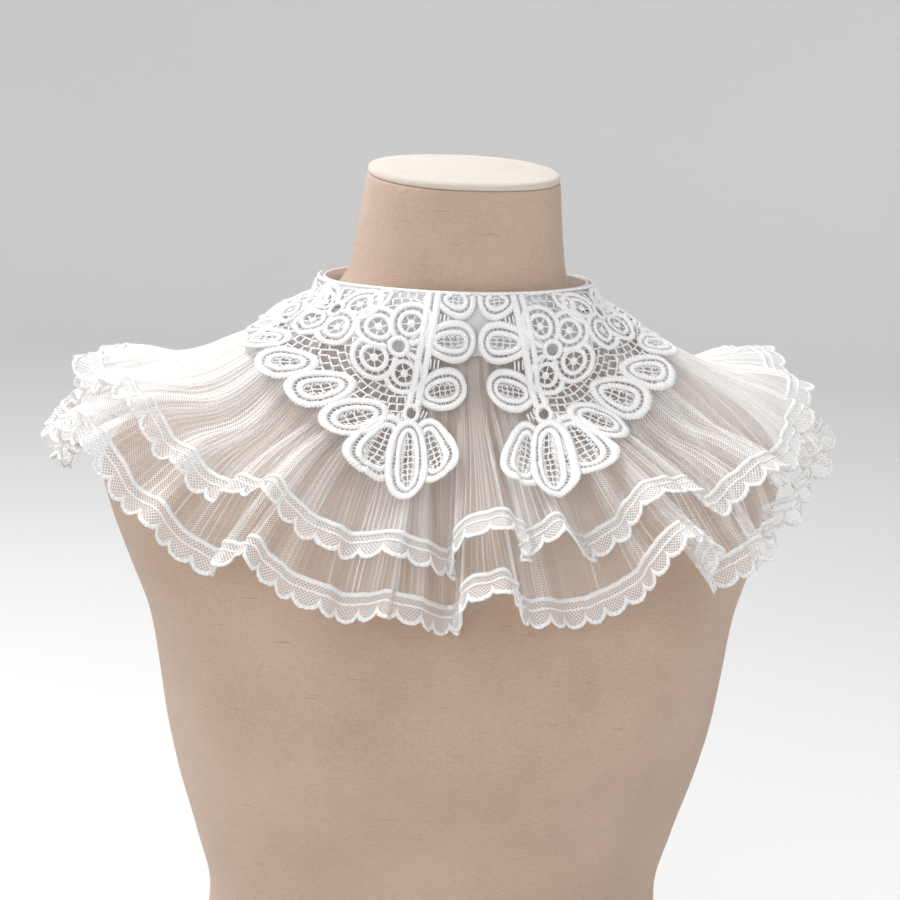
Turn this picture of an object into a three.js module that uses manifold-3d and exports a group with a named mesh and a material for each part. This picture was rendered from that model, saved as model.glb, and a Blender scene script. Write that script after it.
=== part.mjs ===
// A two-tier pleated tulle capelet with a guipure lace collar, worn on a limbless linen dress form.
// Millimetres, +Z up, the wearer's front faces -Y, and the origin is the centre of the form's flat base.
// Angles round the neck are in degrees from the front centre, positive towards +X.
import * as THREE from "three";
import { mergeVertices } from "three/addons/utils/BufferGeometryUtils.js";
import Module from "manifold-3d";

const wasm = await Module();
wasm.setup();

// Dress form: half-sizes of its level sections, and how far each leans to the front
const FORM_SECTIONS = [
  { z: 0, halfWidth: 145, front: 98, back: 100, lean: 0 },
  { z: 5, halfWidth: 149, front: 102, back: 104, lean: 0 },
  { z: 35, halfWidth: 143, front: 98, back: 98, lean: 0 },
  { z: 68, halfWidth: 134, front: 90, back: 87, lean: 0 },
  { z: 102, halfWidth: 131, front: 87, back: 79, lean: 0 },
  { z: 140, halfWidth: 140, front: 95, back: 83, lean: 0 },
  { z: 178, halfWidth: 151, front: 110, back: 91, lean: 0 },
  { z: 210, halfWidth: 158, front: 121, back: 97, lean: 0 },
  { z: 236, halfWidth: 162, front: 123, back: 101, lean: 0 },
  { z: 268, halfWidth: 168, front: 115, back: 105, lean: 0 },
  { z: 300, halfWidth: 180, front: 103, back: 106, lean: 0 },
  { z: 330, halfWidth: 191, front: 91, back: 104, lean: 0 },
  { z: 352, halfWidth: 196, front: 83, back: 100, lean: 0 },
  { z: 370, halfWidth: 187, front: 76, back: 95, lean: 0 },
  { z: 386, halfWidth: 171, front: 70, back: 90, lean: 0 },
  { z: 400, halfWidth: 150, front: 66, back: 86, lean: 0 },
  { z: 414, halfWidth: 125, front: 62, back: 80, lean: 0 },
  { z: 428, halfWidth: 101, front: 60, back: 73, lean: 0 },
  { z: 440, halfWidth: 82, front: 58, back: 67, lean: 0 },
  { z: 450, halfWidth: 69, front: 57, back: 62, lean: 0 },
  { z: 462, halfWidth: 61, front: 55, back: 56, lean: 1 },
  { z: 484, halfWidth: 57, front: 54, back: 53, lean: 4 },
  { z: 516, halfWidth: 53, front: 53, back: 53, lean: 9 },
];
const FORM_SQUARENESS = 2.2;
const FORM_COLUMNS = 34;
const NECK_TOP = { tilt: 4, from: 480, over: 36 };
const CAP = { thickness: 4, inset: 0.6, edge: 1.2 };

// Cloth: every wall is this thick, and pieces that meet keep this gap
const WALL = 1;
const SEAM_GAP = 0.3;
const BACK_OPENING = 1.4;

// Neck band and yoke. Distances down the cloth are measured from the band's foot.
const BAND_FOOT_Z = 446;
const BAND_HEIGHT = 12;
const BAND_LEAN = 3;
const NECKLINE = { halfWidth: 77, front: 62, back: 70 };
const BAND_COLUMNS = 48;
const BAND_OVERLAP = 14;
const BAND_LAP = { rise: WALL + 0.4, from: 168, over: 9 };
const YOKE_DEPTH = 22;
const YOKE_ROWS = 3;
const BUTTON = { radius: 4.5, thickness: 2, rim: 0.5, sides: 20 };

// The two tulle tiers. Both start from one sheet that stands off the form, and the lower one lies
// inside it by its sink, which grows from the yoke's edge to where the cloth has settled, as the
// sheet's clearance does.
const TIERS = {
  lower: { top: YOKE_DEPTH + SEAM_GAP, length: 173, sink: 1, folds: "lower" },
  upper: { top: YOKE_DEPTH - 1.5, length: 145, sink: 0, folds: "upper" },
};
const SETTLING = 44;
const CLEARANCE = { yoke: 3.5, settled: 7.8 };
const SINK = { yoke: 1.9, settled: 5 };
const TIER_COLUMNS = 120;
const TIER_ROWS = 5;
const PLEAT = { depth: 0.55, shareAtTop: 0.6 };
const EDGING_WIDTH = 17;
const SCALLOP_PITCH = 14;
const SCALLOP_DEPTH = 3.5;

// The folds of both tiers in order round the neck. Angles are where the hem stands in the valley before
// the fold, half-way up its flank, on its crest and half-way down. Upper and lower are how many degrees
// each tier stands off its resting slope in that valley and on the crest. The onset is how far down the
// cloth the fold starts.
const FOLDS = [
  { valley: -180, rise: -173, crest: -165, fall: -159, upper: [10, 37], lower: [5, 30], onset: 33 },
  { valley: -152, rise: -146, crest: -140, fall: -133, upper: [11, 40], lower: [5, 32], onset: 36 },
  { valley: -127, rise: -122, crest: -115, fall: -107, upper: [26, 60], lower: [17, 47], onset: 54 },
  { valley: -92, rise: -78, crest: -68, fall: -62, upper: [16, 66], lower: [6, 60], onset: 54 },
  { valley: -54, rise: -51, crest: -45, fall: -41, upper: [32, 44], lower: [19, 34], onset: 33 },
  { valley: -34, rise: -27, crest: -22, fall: -18, upper: [17, 25], lower: [8, 18], onset: 33 },
  { valley: -9, rise: -10, crest: -3, fall: 4, upper: [5, 36], lower: [1, 29], onset: 16 },
  { valley: 6, rise: 8, crest: 11, fall: 15, upper: [21, 39], lower: [12, 12], onset: 32 },
  { valley: 23, rise: 25, crest: 29, fall: 36, upper: [16, 51], lower: [4, 48], onset: 24 },
  { valley: 44, rise: 50, crest: 56, fall: 61, upper: [40, 52], lower: [21, 22], onset: 44 },
  { valley: 73, rise: 99, crest: 109, fall: 118, upper: [8, 60], lower: [5, 45], onset: 60 },
  { valley: 126, rise: 132, crest: 138, fall: 144, upper: [15, 42], lower: [9, 33], onset: 36 },
  { valley: 152, rise: 158, crest: 165, fall: 173, upper: [10, 37], lower: [5, 30], onset: 33 },
  { valley: 180, upper: [10], lower: [5], onset: 33 },
];
const FLANK_SHARE = 0.6;
const FOLD_RAMP = 58;
const HEM_EVENNESS = 0.75;
const CLOTH_BEND = 0.7;

// How finely a cloth's line is followed, and the slopes in degrees that it keeps between
const STEP = 3;
const SLOPE = { start: 90, steepest: 88, flattest: -20, step: 0.5 };
const SURFACE_LINES = 720;
const MEASURED_LINES = 1440;

// The lace collar's two halves, each one pattern of motifs, mirrored and set a little to one side. A motif
// has its middle's angle round from the front gap and distance down from the band's top, and its turn from
// level. The left half hangs straighter and lower in front, from a distance down on.
const LACE = {
  thickness: 1.4,
  gap: 1.5,
  reach: 6,
  bend: 0.9,
  startSlope: 80,
  length: 134,
  neckRadius: 68,
  flare: 0.55,
  facet: 15,
  shift: -2,
  hang: { turn: 5, drop: 8, from: 55, over: 55 },
};
const LACE_LEAVES = [
  { at: 10, down: 8, turn: 176, length: 22, width: 14 },
  { at: 11.5, down: 28, turn: 188, length: 31, width: 22 },
  { at: 14, down: 55, turn: 192, length: 33, width: 24 },
  { at: 14.5, down: 92.5, turn: 112, length: 43, width: 22 },
  { at: 22, down: 98, turn: 101, length: 48, width: 23 },
  { at: 30, down: 93.5, turn: 85, length: 41, width: 22 },
  { at: 37.5, down: 79.5, turn: 42, length: 32, width: 25 },
  { at: 48.6, down: 67, turn: 40, length: 30, width: 23 },
  { at: 60, down: 60, turn: 38, length: 28, width: 21 },
  { at: 73, down: 51, turn: 28, length: 28, width: 20 },
  { at: 86, down: 43, turn: 20, length: 28, width: 19 },
  { at: 100, down: 36, turn: 12, length: 28, width: 18 },
];
// Each flower has a petal at its turn and the others after it, and none where a fifth would point
const LACE_FLOWERS = [
  { at: 30.8, down: 34, turn: 252, scale: 1 },
  { at: 59, down: 18, turn: 340, scale: 0.95 },
  { at: 86, down: 18, turn: 340, scale: 0.9 },
];
const FLOWER = { petals: 4, spacing: 72, eye: 6.5, disc: 14, reach: 14, length: 25, width: 23.5 };
// The ground between the motifs, by its corners, and the gaps that are cut through it
const LACE_GROUND = [
  { at: 18, down: 0 },
  { at: 64, down: 0 },
  { at: 108, down: 0 },
  { at: 108, down: 30 },
  { at: 98, down: 36 },
  { at: 85, down: 42 },
  { at: 72, down: 49 },
  { at: 60, down: 57 },
  { at: 48.6, down: 63 },
  { at: 37, down: 75 },
  { at: 28, down: 78 },
  { at: 21, down: 76 },
  { at: 21.5, down: 60 },
  { at: 19.5, down: 40 },
  { at: 18, down: 19 },
];
const LACE_GAPS = [
  { at: 23.8, down: 69.5, size: 5.7 },
  { at: 28.5, down: 63, size: 5 },
  { at: 32.5, down: 61.5, size: 5 },
  { at: 36.5, down: 59.5, size: 5 },
  { at: 40.5, down: 57.5, size: 5 },
  { at: 44.5, down: 54.5, size: 4.6 },
  { at: 47.5, down: 41.5, size: 4.6 },
  { at: 47, down: 47.5, size: 4.6 },
  { at: 52, down: 44, size: 4.6 },
  { at: 51.5, down: 50, size: 4.6 },
];
const LACE_TAB = { from: { at: 3, down: 2 }, to: { at: 22, down: 2 }, width: 4 };

const radians = THREE.MathUtils.degToRad;
const degrees = THREE.MathUtils.radToDeg;
const smooth = (x) => THREE.MathUtils.smoothstep(x, 0, 1);

// A column of a table read smoothly between its rows, with no overshoot.
function readTable(rows, key, column, at) {
  const last = rows.length - 1;
  if (at <= rows[0][key]) return rows[0][column];
  if (at >= rows[last][key]) return rows[last][column];
  const i = rows.findIndex((row) => row[key] > at) - 1;
  const rise = (j) => (rows[j + 1][column] - rows[j][column]) / (rows[j + 1][key] - rows[j][key]);
  const slope = (j) => {
    if (j === 0 || j === last) return rise(Math.min(j, last - 1));
    const [before, after] = [rise(j - 1), rise(j)];
    return before * after <= 0 ? 0 : (2 * before * after) / (before + after);
  };
  const span = rows[i + 1][key] - rows[i][key];
  const t = (at - rows[i][key]) / span;
  const hermite = (a, b, slopeA, slopeB) =>
    a * (1 + 2 * t) * (1 - t) ** 2 + b * t * t * (3 - 2 * t) +
    span * (slopeA * t * (1 - t) ** 2 - slopeB * t * t * (1 - t));
  return hermite(rows[i][column], rows[i + 1][column], slope(i), slope(i + 1));
}

// Distance from the axis to an oval with its own front and back depths, in the direction of an angle.
function ovalRadius({ halfWidth, front, back }, angle, power) {
  const across = Math.abs(Math.sin(radians(angle))) / halfWidth;
  const cosine = Math.cos(radians(angle));
  const along = Math.abs(cosine) / (cosine > 0 ? front : back);
  return (across ** power + along ** power) ** (-1 / power);
}

function formSection(z) {
  const read = (column) => readTable(FORM_SECTIONS, "z", column, z);
  return { halfWidth: read("halfWidth"), front: read("front"), back: read("back"), lean: read("lean") };
}

const formRadius = (angle, z) => ovalRadius(formSection(z), angle, FORM_SQUARENESS);

// Distance from the axis to where something lies at a clearance square to the form.
function clearOfForm(angle, z, clearance) {
  const spread = formRadius(angle, z - 1) - formRadius(angle, z + 1);
  return formRadius(angle, z) + clearance * Math.hypot(1, spread / 2);
}

// A point at an angle, a distance from the axis and a height.
function polar(angle, radius, z) {
  return new THREE.Vector3(radius * Math.sin(radians(angle)), -radius * Math.cos(radians(angle)), z);
}

// A closed mesh from rings of points, each ring joined to the next. Open rings are closed across at their
// ends, where the second half of them lies behind the first.
function solidFromRings(rings, closed) {
  const columns = rings[0].length;
  const positions = rings.flat().flatMap((point) => [point.x, point.y, point.z]);
  const index = [];
  const quad = (a, b, c, d) => index.push(a, d, c, a, c, b);
  const at = (ring, column) => ring * columns + (column % columns);
  rings.forEach((_, ring) => {
    const next = (ring + 1) % rings.length;
    for (let c = 0; c < (closed ? columns : columns - 1); c++)
      quad(at(ring, c), at(ring, c + 1), at(next, c + 1), at(next, c));
  });
  if (!closed) {
    const half = rings.length / 2;
    for (let r = 0; r < half - 1; r++) {
      const mirror = (ring) => rings.length - 1 - ring;
      const end = columns - 1;
      quad(at(r, 0), at(r + 1, 0), at(mirror(r + 1), 0), at(mirror(r), 0));
      quad(at(mirror(r), end), at(mirror(r + 1), end), at(r + 1, end), at(r, end));
    }
  }
  return new THREE.BufferGeometry()
    .setAttribute("position", new THREE.Float32BufferAttribute(positions, 3))
    .setIndex(index);
}

// A solid lofted through rings that close on themselves, with flat ends, from the bottom up.
function loft(rings) {
  const columns = rings[0].length;
  const sum = (ring) => ring.reduce((total, point) => total.add(point), new THREE.Vector3());
  const middle = (ring) => sum(ring).divideScalar(columns);
  const points = [...rings.flat(), middle(rings[0]), middle(rings[rings.length - 1])];
  const [bottom, top] = [points.length - 2, points.length - 1];
  const index = [];
  for (let c = 0; c < columns; c++) {
    const next = (c + 1) % columns;
    index.push(bottom, next, c);
    index.push(top, top - 1 - columns + c, top - 1 - columns + next);
    for (let r = 0; r < rings.length - 1; r++) {
      const [a, b] = [r * columns + c, r * columns + next];
      index.push(a, b, b + columns, a, b + columns, a + columns);
    }
  }
  return new THREE.BufferGeometry()
    .setAttribute("position", new THREE.Float32BufferAttribute(points.flatMap((p) => [p.x, p.y, p.z]), 3))
    .setIndex(index);
}

// Ring of the dress form at a height, inset by a margin. The neck's top tilts down to the front.
function formRing(z, inset = 0, lift = 0) {
  const section = formSection(z);
  const tilt = Math.tan(radians(NECK_TOP.tilt)) * smooth((z - NECK_TOP.from) / NECK_TOP.over);
  return Array.from({ length: FORM_COLUMNS }, (_, column) => {
    const angle = (360 * column) / FORM_COLUMNS;
    const point = polar(angle, ovalRadius(section, angle, FORM_SQUARENESS) - inset, z + lift);
    point.z += point.y * tilt;
    point.y -= section.lean;
    return point;
  });
}

function dressForm() {
  return loft(FORM_SECTIONS.map(({ z }) => formRing(z)));
}

function neckCap() {
  const top = FORM_SECTIONS[FORM_SECTIONS.length - 1].z;
  return loft([
    formRing(top, CAP.inset, SEAM_GAP),
    formRing(top, CAP.inset, SEAM_GAP + CAP.thickness - CAP.edge),
    formRing(top, CAP.inset + CAP.edge, SEAM_GAP + CAP.thickness),
  ]);
}

// A clearance or sink at a distance down the cloth.
const settling = ({ yoke, settled }, s) =>
  THREE.MathUtils.lerp(yoke, settled, smooth((s - YOKE_DEPTH) / SETTLING));

// The cloth's line down a tier from an angle at the yoke: it hugs the form at a clearance, bends stiffly
// where the form falls away, swings to its hem angle and lifts off into its fold.
function clothLine({ at, hem, lift, onset }, tier) {
  const start = { r: ovalRadius(NECKLINE, at, 2) + SINK.yoke, z: BAND_FOOT_Z };
  const rest = { ...start };
  const line = [polar(at, start.r, start.z)];
  let [slope, r, z] = [SLOPE.start, start.r, start.z];
  for (let s = STEP; s <= tier.length + 2 * STEP; s += STEP) {
    const gap = settling(CLEARANCE, s);
    const pulled = THREE.MathUtils.clamp(s, YOKE_DEPTH, TIERS.upper.length);
    const angle = THREE.MathUtils.mapLinear(pulled, YOKE_DEPTH, TIERS.upper.length, at, hem);
    slope = Math.min(SLOPE.steepest, slope + CLOTH_BEND * STEP);
    const ahead = () => rest.r + STEP * Math.cos(radians(slope));
    const below = () => rest.z - STEP * Math.sin(radians(slope));
    while (slope > SLOPE.flattest && ahead() < clearOfForm(angle, below(), gap)) slope -= SLOPE.step;
    [rest.r, rest.z] = [ahead(), below()];
    const lifted = radians(slope - lift * smooth((s - onset) / FOLD_RAMP));
    [r, z] = [r + STEP * Math.cos(lifted), z - STEP * Math.sin(lifted)];
    line.push(polar(angle, r, z));
  }
  return line;
}

// The hem's run of valleys, flanks and crests, each with its lift in a tier.
function hemRun(tier) {
  return FOLDS.flatMap((fold, i) => {
    const { onset } = fold;
    const [low, high] = fold[tier.folds];
    const bottom = { hem: fold.valley, lift: low, onset };
    if (i === FOLDS.length - 1) return [bottom];
    const [next] = FOLDS[i + 1][tier.folds];
    return [
      bottom,
      { hem: fold.rise, lift: THREE.MathUtils.lerp(low, high, FLANK_SHARE), onset },
      { hem: fold.crest, lift: high, onset },
      { hem: fold.fall, lift: THREE.MathUtils.lerp(next, high, FLANK_SHARE), onset },
    ];
  });
}

// Where each part of the hem comes from at the yoke: the hem's length is shared out nearly evenly round
// the neck.
function gatheredRuns() {
  const tiers = Object.values(TIERS);
  const runs = tiers.map(hemRun);
  const ends = tiers.map((tier, k) => runs[k].map((row) => clothLine({ at: row.hem, ...row }, tier).pop()));
  const lengths = [0];
  for (let i = 1; i < runs[0].length; i++)
    lengths.push(ends.reduce((sum, end) => sum + end[i].distanceTo(end[i - 1]), lengths[i - 1]));
  const total = lengths[lengths.length - 1];
  const even = (i) => -180 + (360 * lengths[i]) / total;
  return runs.map((run) =>
    run.map((row, i) => ({ at: THREE.MathUtils.lerp(row.hem, even(i), HEM_EVENNESS), ...row })));
}

// A surface through lines that start at even angles, as a function of the angle and the distance down.
function surfaceThrough(lines) {
  const spacing = 360 / (lines.length - 1);
  return (at, s) => {
    const [across, down] = [(at + 180) / spacing, s / STEP];
    const column = THREE.MathUtils.clamp(Math.floor(across), 0, lines.length - 2);
    const row = THREE.MathUtils.clamp(Math.floor(down), 0, lines[0].length - 2);
    const mix = (line) => line[row].clone().lerp(line[row + 1], down - row);
    return mix(lines[column]).lerp(mix(lines[column + 1]), across - column);
  };
}

const turns = (count) => Array.from({ length: count + 1 }, (_, i) => -180 + (360 * i) / count);

function tierSurface(tier, run) {
  const fold = (column, at) => readTable(run, "at", column, at);
  const row = (at) => ({ at, hem: fold("hem", at), lift: fold("lift", at), onset: fold("onset", at) });
  const sheet = surfaceThrough(turns(SURFACE_LINES).map((at) => clothLine(row(at), tier)));
  return (at, s) => sheet(at, s).addScaledVector(outward(sheet, at, s), -tier.sink * settling(SINK, s));
}

// The neck band stands up from the yoke, and its end laps outside its start at the back.
function bandSurface(angle, height) {
  const lap = BAND_LAP.rise * smooth((angle - BAND_LAP.from) / BAND_LAP.over);
  const r = ovalRadius(NECKLINE, angle, 2) - (BAND_LEAN * height) / BAND_HEIGHT + lap;
  return polar(angle, r, BAND_FOOT_Z + SEAM_GAP + height);
}
const bandFromTop = (angle, s) => bandSurface(angle, BAND_HEIGHT - s);

// How far out the band and the upper tier reach at each whole degree and millimetre of height, spread and
// then averaged over the same few degrees, so that it is smooth and nowhere less than they are.
function reachTable(cloth) {
  const heights = BAND_FOOT_Z + 2 * BAND_HEIGHT;
  const wrap = (turn) => ((Math.round(turn) % 360) + 360) % 360;
  const table = Array.from({ length: 360 }, () => new Float32Array(heights));
  const note = (point) => {
    const column = table[wrap(degrees(Math.atan2(point.x, -point.y)))];
    for (const z of [Math.floor(point.z), Math.ceil(point.z)])
      column[z] = Math.max(column[z], Math.hypot(point.x, point.y));
  };
  for (const at of turns(MEASURED_LINES)) {
    const single = Math.min(at, BAND_LAP.from);
    for (let s = 0; s < TIERS.upper.length; s++) note(cloth(at, s));
    for (let height = 0; height <= BAND_HEIGHT; height++) note(bandSurface(single, height));
  }
  const window = Array.from({ length: 2 * LACE.reach + 1 }, (_, i) => i - LACE.reach);
  const round = (grid, turn, z) => window.map((step) => grid[wrap(turn + step)][z]);
  const over = (grid, merge) =>
    grid.map((_, turn) => Float32Array.from({ length: heights }, (_, z) => merge(round(grid, turn, z))));
  const widest = over(table, (values) => Math.max(...values));
  const even = over(widest, (values) => values.reduce((sum, value) => sum + value) / values.length);
  return (angle, z) => Math.max(even[wrap(angle)][Math.floor(z)], even[wrap(angle)][Math.ceil(z)]);
}

// The lace lies on the band, the yoke and the upper tier, and falls stiffly where they fall away.
function laceSurface(cloth) {
  const reach = reachTable(cloth);
  const gap = WALL / 2 + PLEAT.depth + LACE.gap;
  const lines = turns(360).map((angle) => {
    const top = bandSurface(Math.min(angle, BAND_LAP.from), BAND_HEIGHT);
    let [slope, r, z] = [LACE.startSlope, Math.hypot(top.x, top.y) + gap, top.z];
    const line = [polar(angle, r, z)];
    for (let s = STEP; s <= LACE.length; s += STEP) {
      slope = Math.min(SLOPE.steepest, slope + LACE.bend * STEP);
      const ahead = () => r + STEP * Math.cos(radians(slope));
      const below = () => z - STEP * Math.sin(radians(slope));
      while (slope > SLOPE.flattest && ahead() < reach(angle, below()) + gap) slope -= SLOPE.step / 2;
      [r, z] = [ahead(), below()];
      line.push(polar(angle, r, z));
    }
    return line;
  });
  return surfaceThrough(lines);
}

// A surface's outward direction, from its points a little way round and down.
const NEARBY = { angle: 0.4, distance: 1 };
function outward(surface, angle, s) {
  const round = surface(angle + NEARBY.angle, s).sub(surface(angle - NEARBY.angle, s));
  const down = surface(angle, s + NEARBY.distance).sub(surface(angle, s - NEARBY.distance));
  return down.cross(round).normalize();
}

// Angles at the yoke from one edge of the back opening to the other, evenly spread.
const BACK_EDGE = degrees(BACK_OPENING / 2 / NECKLINE.back);
const spread = (count, start = BACK_EDGE - 180, end = 180 - BACK_EDGE) =>
  Array.from({ length: count + 1 }, (_, i) => THREE.MathUtils.lerp(start, end, i / count));

// Length of a surface's line at a distance down the cloth.
function lineLength(surface, s) {
  const points = spread(MEASURED_LINES).map((at) => surface(at, s));
  return points.slice(1).reduce((sum, point, i) => sum + point.distanceTo(points[i]), 0);
}

// A cloth wall over a surface: each column at an angle, each row at its distance down, pleated by an
// offset.
function clothWall(surface, angles, rows, rowAt, pleatAt = () => 0) {
  const face = (side) => (row) =>
    angles.map((angle, column) => {
      const s = rowAt(row, column);
      const offset = (side * WALL) / 2 + pleatAt(row, column);
      return surface(angle, s).addScaledVector(outward(surface, angle, s), offset);
    });
  const order = Array.from({ length: rows }, (_, row) => row);
  return solidFromRings([...order.map(face(1)), ...order.reverse().map(face(-1))], false);
}

function neckBand() {
  const overlap = degrees(BAND_OVERLAP / NECKLINE.back);
  const angles = spread(BAND_COLUMNS, BACK_EDGE - 180, 180 + overlap);
  return clothWall(bandFromTop, angles, 2, (row) => row * BAND_HEIGHT);
}

function yoke(surface) {
  return clothWall(surface, spread(BAND_COLUMNS), YOKE_ROWS, (row) => (row * YOKE_DEPTH) / (YOKE_ROWS - 1));
}

// One tulle tier, from the yoke to its edging, with fine pleats that open towards the hem.
function tulleTier(tier, surface) {
  const end = tier.length - EDGING_WIDTH - SEAM_GAP;
  const rowAt = (row) => THREE.MathUtils.lerp(tier.top, end, row / (TIER_ROWS - 1));
  const depth = (row) => PLEAT.depth * THREE.MathUtils.lerp(PLEAT.shareAtTop, 1, row / (TIER_ROWS - 1));
  const pleat = (row, column) => (column % 2 ? 1 : -1) * depth(row);
  return clothWall(surface, spread(TIER_COLUMNS), TIER_ROWS, rowAt, pleat);
}

// The scalloped lace edging of a tier.
function laceEdging(tier, surface) {
  const scallops = Math.round(lineLength(surface, tier.length) / SCALLOP_PITCH);
  const top = tier.length - EDGING_WIDTH;
  const rowAt = (row, column) => (row ? tier.length - (column % 2 ? 0 : SCALLOP_DEPTH) : top);
  return clothWall(surface, spread(scallops * 2), 2, rowAt);
}

function button() {
  const { radius, thickness, rim, sides } = BUTTON;
  const profile = [
    new THREE.Vector2(0, 0),
    new THREE.Vector2(radius - rim, 0),
    new THREE.Vector2(radius, rim),
    new THREE.Vector2(radius, thickness - rim),
    new THREE.Vector2(radius - rim, thickness),
    new THREE.Vector2(0, thickness),
  ];
  return new THREE.LatheGeometry(profile, sides);
}

// An egg-shaped outline round the origin, blunt end along +X.
const OUTLINE_SIDES = 11;
const BLUNTNESS = 0.2;
const HOLE_SIDES = 6;
function egg(length, width, bluntness = BLUNTNESS, sides = OUTLINE_SIDES) {
  return Array.from({ length: sides }, (_, i) => {
    const turn = (2 * Math.PI * i) / sides;
    const across = (width / 2) * Math.sin(turn) * (1 + bluntness * Math.cos(turn));
    return new THREE.Vector2((length / 2) * Math.cos(turn), across);
  });
}
const circle = (size) => egg(size, size, 0, HOLE_SIDES);

// A point of the lace pattern in its flat plane, where a degree round is as long as at the neck radius.
function flat({ at, down }, offset = new THREE.Vector2()) {
  const local = LACE.neckRadius + LACE.flare * (down + offset.y);
  const across = radians(at) * LACE.neckRadius + (offset.x * LACE.neckRadius) / local;
  return new THREE.Vector2(across, down + offset.y);
}

// A motif's outline turned and moved to its place in the flat plane.
function placed(outline, motif) {
  const turn = radians(motif.turn ?? 0);
  return outline.map((point) => flat(motif, point.clone().rotateAround(new THREE.Vector2(), turn)));
}

function toManifold(geometry) {
  const bare = geometry.clone();
  bare.deleteAttribute("normal");
  bare.deleteAttribute("uv");
  const merged = mergeVertices(bare, 1e-4);
  return new wasm.Manifold(new wasm.Mesh({
    numProp: 3,
    vertProperties: new Float32Array(merged.attributes.position.array),
    triVerts: new Uint32Array(merged.index.array),
  }));
}

const extruded = (outline, depth) =>
  new THREE.ExtrudeGeometry(new THREE.Shape(outline), { depth, bevelEnabled: false, steps: 1 });
const slab = (outline) => toManifold(extruded(outline, LACE.thickness));
const through = (outline) =>
  toManifold(extruded(outline, 3 * LACE.thickness).translate(0, 0, -LACE.thickness));

const leaf = (motif) => slab(placed(egg(motif.length, motif.width), motif));

// A flower: petals round a disc. Its eye is cut later, with the other gaps.
function flower(motif) {
  const { scale } = motif;
  const reach = new THREE.Vector2(FLOWER.reach * scale, 0);
  const petals = Array.from({ length: FLOWER.petals }, (_, i) => {
    const turn = radians(motif.turn + FLOWER.spacing * i);
    const outline = egg(FLOWER.length * scale, FLOWER.width * scale)
      .map((point) => point.add(reach).rotateAround(new THREE.Vector2(), turn));
    return slab(outline.map((point) => flat(motif, point)));
  });
  return [...petals, slab(placed(circle(FLOWER.disc), motif))];
}

// A straight band between two points, level where both lie at one depth.
function band({ from, to, width }) {
  const corners = [flat(from), flat(to), flat(to), flat(from)];
  return slab(corners.map((corner, i) => corner.add(new THREE.Vector2(0, ((i < 2 ? -1 : 1) * width) / 2))));
}

// One half of the lace laid flat, with its gaps and the flowers' eyes cut through.
function lacePattern() {
  const pieces = [slab(LACE_GROUND.map((corner) => flat(corner))), band(LACE_TAB)];
  const whole = [...pieces, ...LACE_LEAVES.map(leaf), ...LACE_FLOWERS.flatMap(flower)]
    .reduce((sum, piece) => sum.add(piece));
  const eyes = LACE_FLOWERS.map((motif) => ({ ...motif, size: FLOWER.eye }));
  const cut = (rest, gap) => rest.subtract(through(placed(circle(gap.size), gap)));
  return [...LACE_GAPS, ...eyes].reduce(cut, whole);
}

// Splits every edge longer than a length at its middle, until none is left.
function refined(points, faces, longest) {
  for (let split = true; split; ) {
    split = false;
    const middles = new Map();
    const middle = (a, b) => {
      const key = `${Math.min(a, b)},${Math.max(a, b)}`;
      if (!middles.has(key)) {
        const long = points[a].distanceTo(points[b]) > longest;
        middles.set(key, long ? points.push(points[a].clone().lerp(points[b], 0.5)) - 1 : -1);
      }
      return middles.get(key);
    };
    faces = faces.flatMap((face) => {
      const cuts = face.map((corner, i) => middle(corner, face[(i + 1) % 3]));
      const count = cuts.filter((cut) => cut >= 0).length;
      if (count === 0) return [face];
      split = true;
      const first = count === 3 ? 0 : cuts.findIndex((cut, i) => cut >= 0 && cuts[(i + 2) % 3] < 0);
      const turned = (list) => [0, 1, 2].map((k) => list[(first + k) % 3]);
      const [a, b, c, ab, bc, ca] = [...turned(face), ...turned(cuts)];
      if (count === 1) return [[a, ab, c], [ab, b, c]];
      if (count === 2) return [[a, ab, c], [ab, bc, c], [ab, b, bc]];
      return [[a, ab, ca], [ab, b, bc], [ca, bc, c], [ab, bc, ca]];
    });
  }
  return faces;
}

// One half of the lace collar: the flat pattern, then laid on the surface on its own side.
function laceHalf(surface, side) {
  const solid = lacePattern();
  const mesh = solid.getMesh();
  const points = Array.from({ length: mesh.numVert }, (_, i) =>
    new THREE.Vector3(...mesh.vertProperties.slice(3 * i, 3 * i + 3)));
  const raw = Array.from({ length: mesh.numTri }, (_, i) => [...mesh.triVerts.slice(3 * i, 3 * i + 3)]);
  const faces = refined(points, raw, LACE.facet);
  const laid = points.map(({ x, y, z }) => {
    const hang = side > 0 ? smooth((y - LACE.hang.from) / LACE.hang.over) : 0;
    const angle = LACE.shift + side * degrees(x / LACE.neckRadius) - LACE.hang.turn * hang;
    const down = y + LACE.hang.drop * hang;
    return surface(angle, down).addScaledVector(outward(surface, angle, down), z);
  });
  const index = faces.flatMap(([a, b, c]) => (side > 0 ? [a, c, b] : [a, b, c]));
  return new THREE.BufferGeometry()
    .setAttribute("position", new THREE.Float32BufferAttribute(laid.flatMap((p) => [p.x, p.y, p.z]), 3))
    .setIndex(index);
}

const material = (color, roughness) => new THREE.MeshStandardMaterial({ color, roughness, metalness: 0 });
const LINEN = material(0xc9b39c, 0.9);
const SATIN = material(0xf1edf2, 0.5);
const TULLE = material(0xf3efe8, 0.8);
const EDGING = material(0xf7f5f2, 0.75);
const GUIPURE = material(0xf8f6f6, 0.7);
const PEARL = material(0xf4efe6, 0.3);

const group = new THREE.Group();
function place(name, geometry, finish) {
  const mesh = new THREE.Mesh(geometry, finish);
  mesh.name = name;
  group.add(mesh);
  return mesh;
}

const runs = gatheredRuns();
const [lowerCloth, upperCloth] = Object.values(TIERS).map((tier, i) => tierSurface(tier, runs[i]));
const laceCloth = laceSurface(upperCloth);

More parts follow.
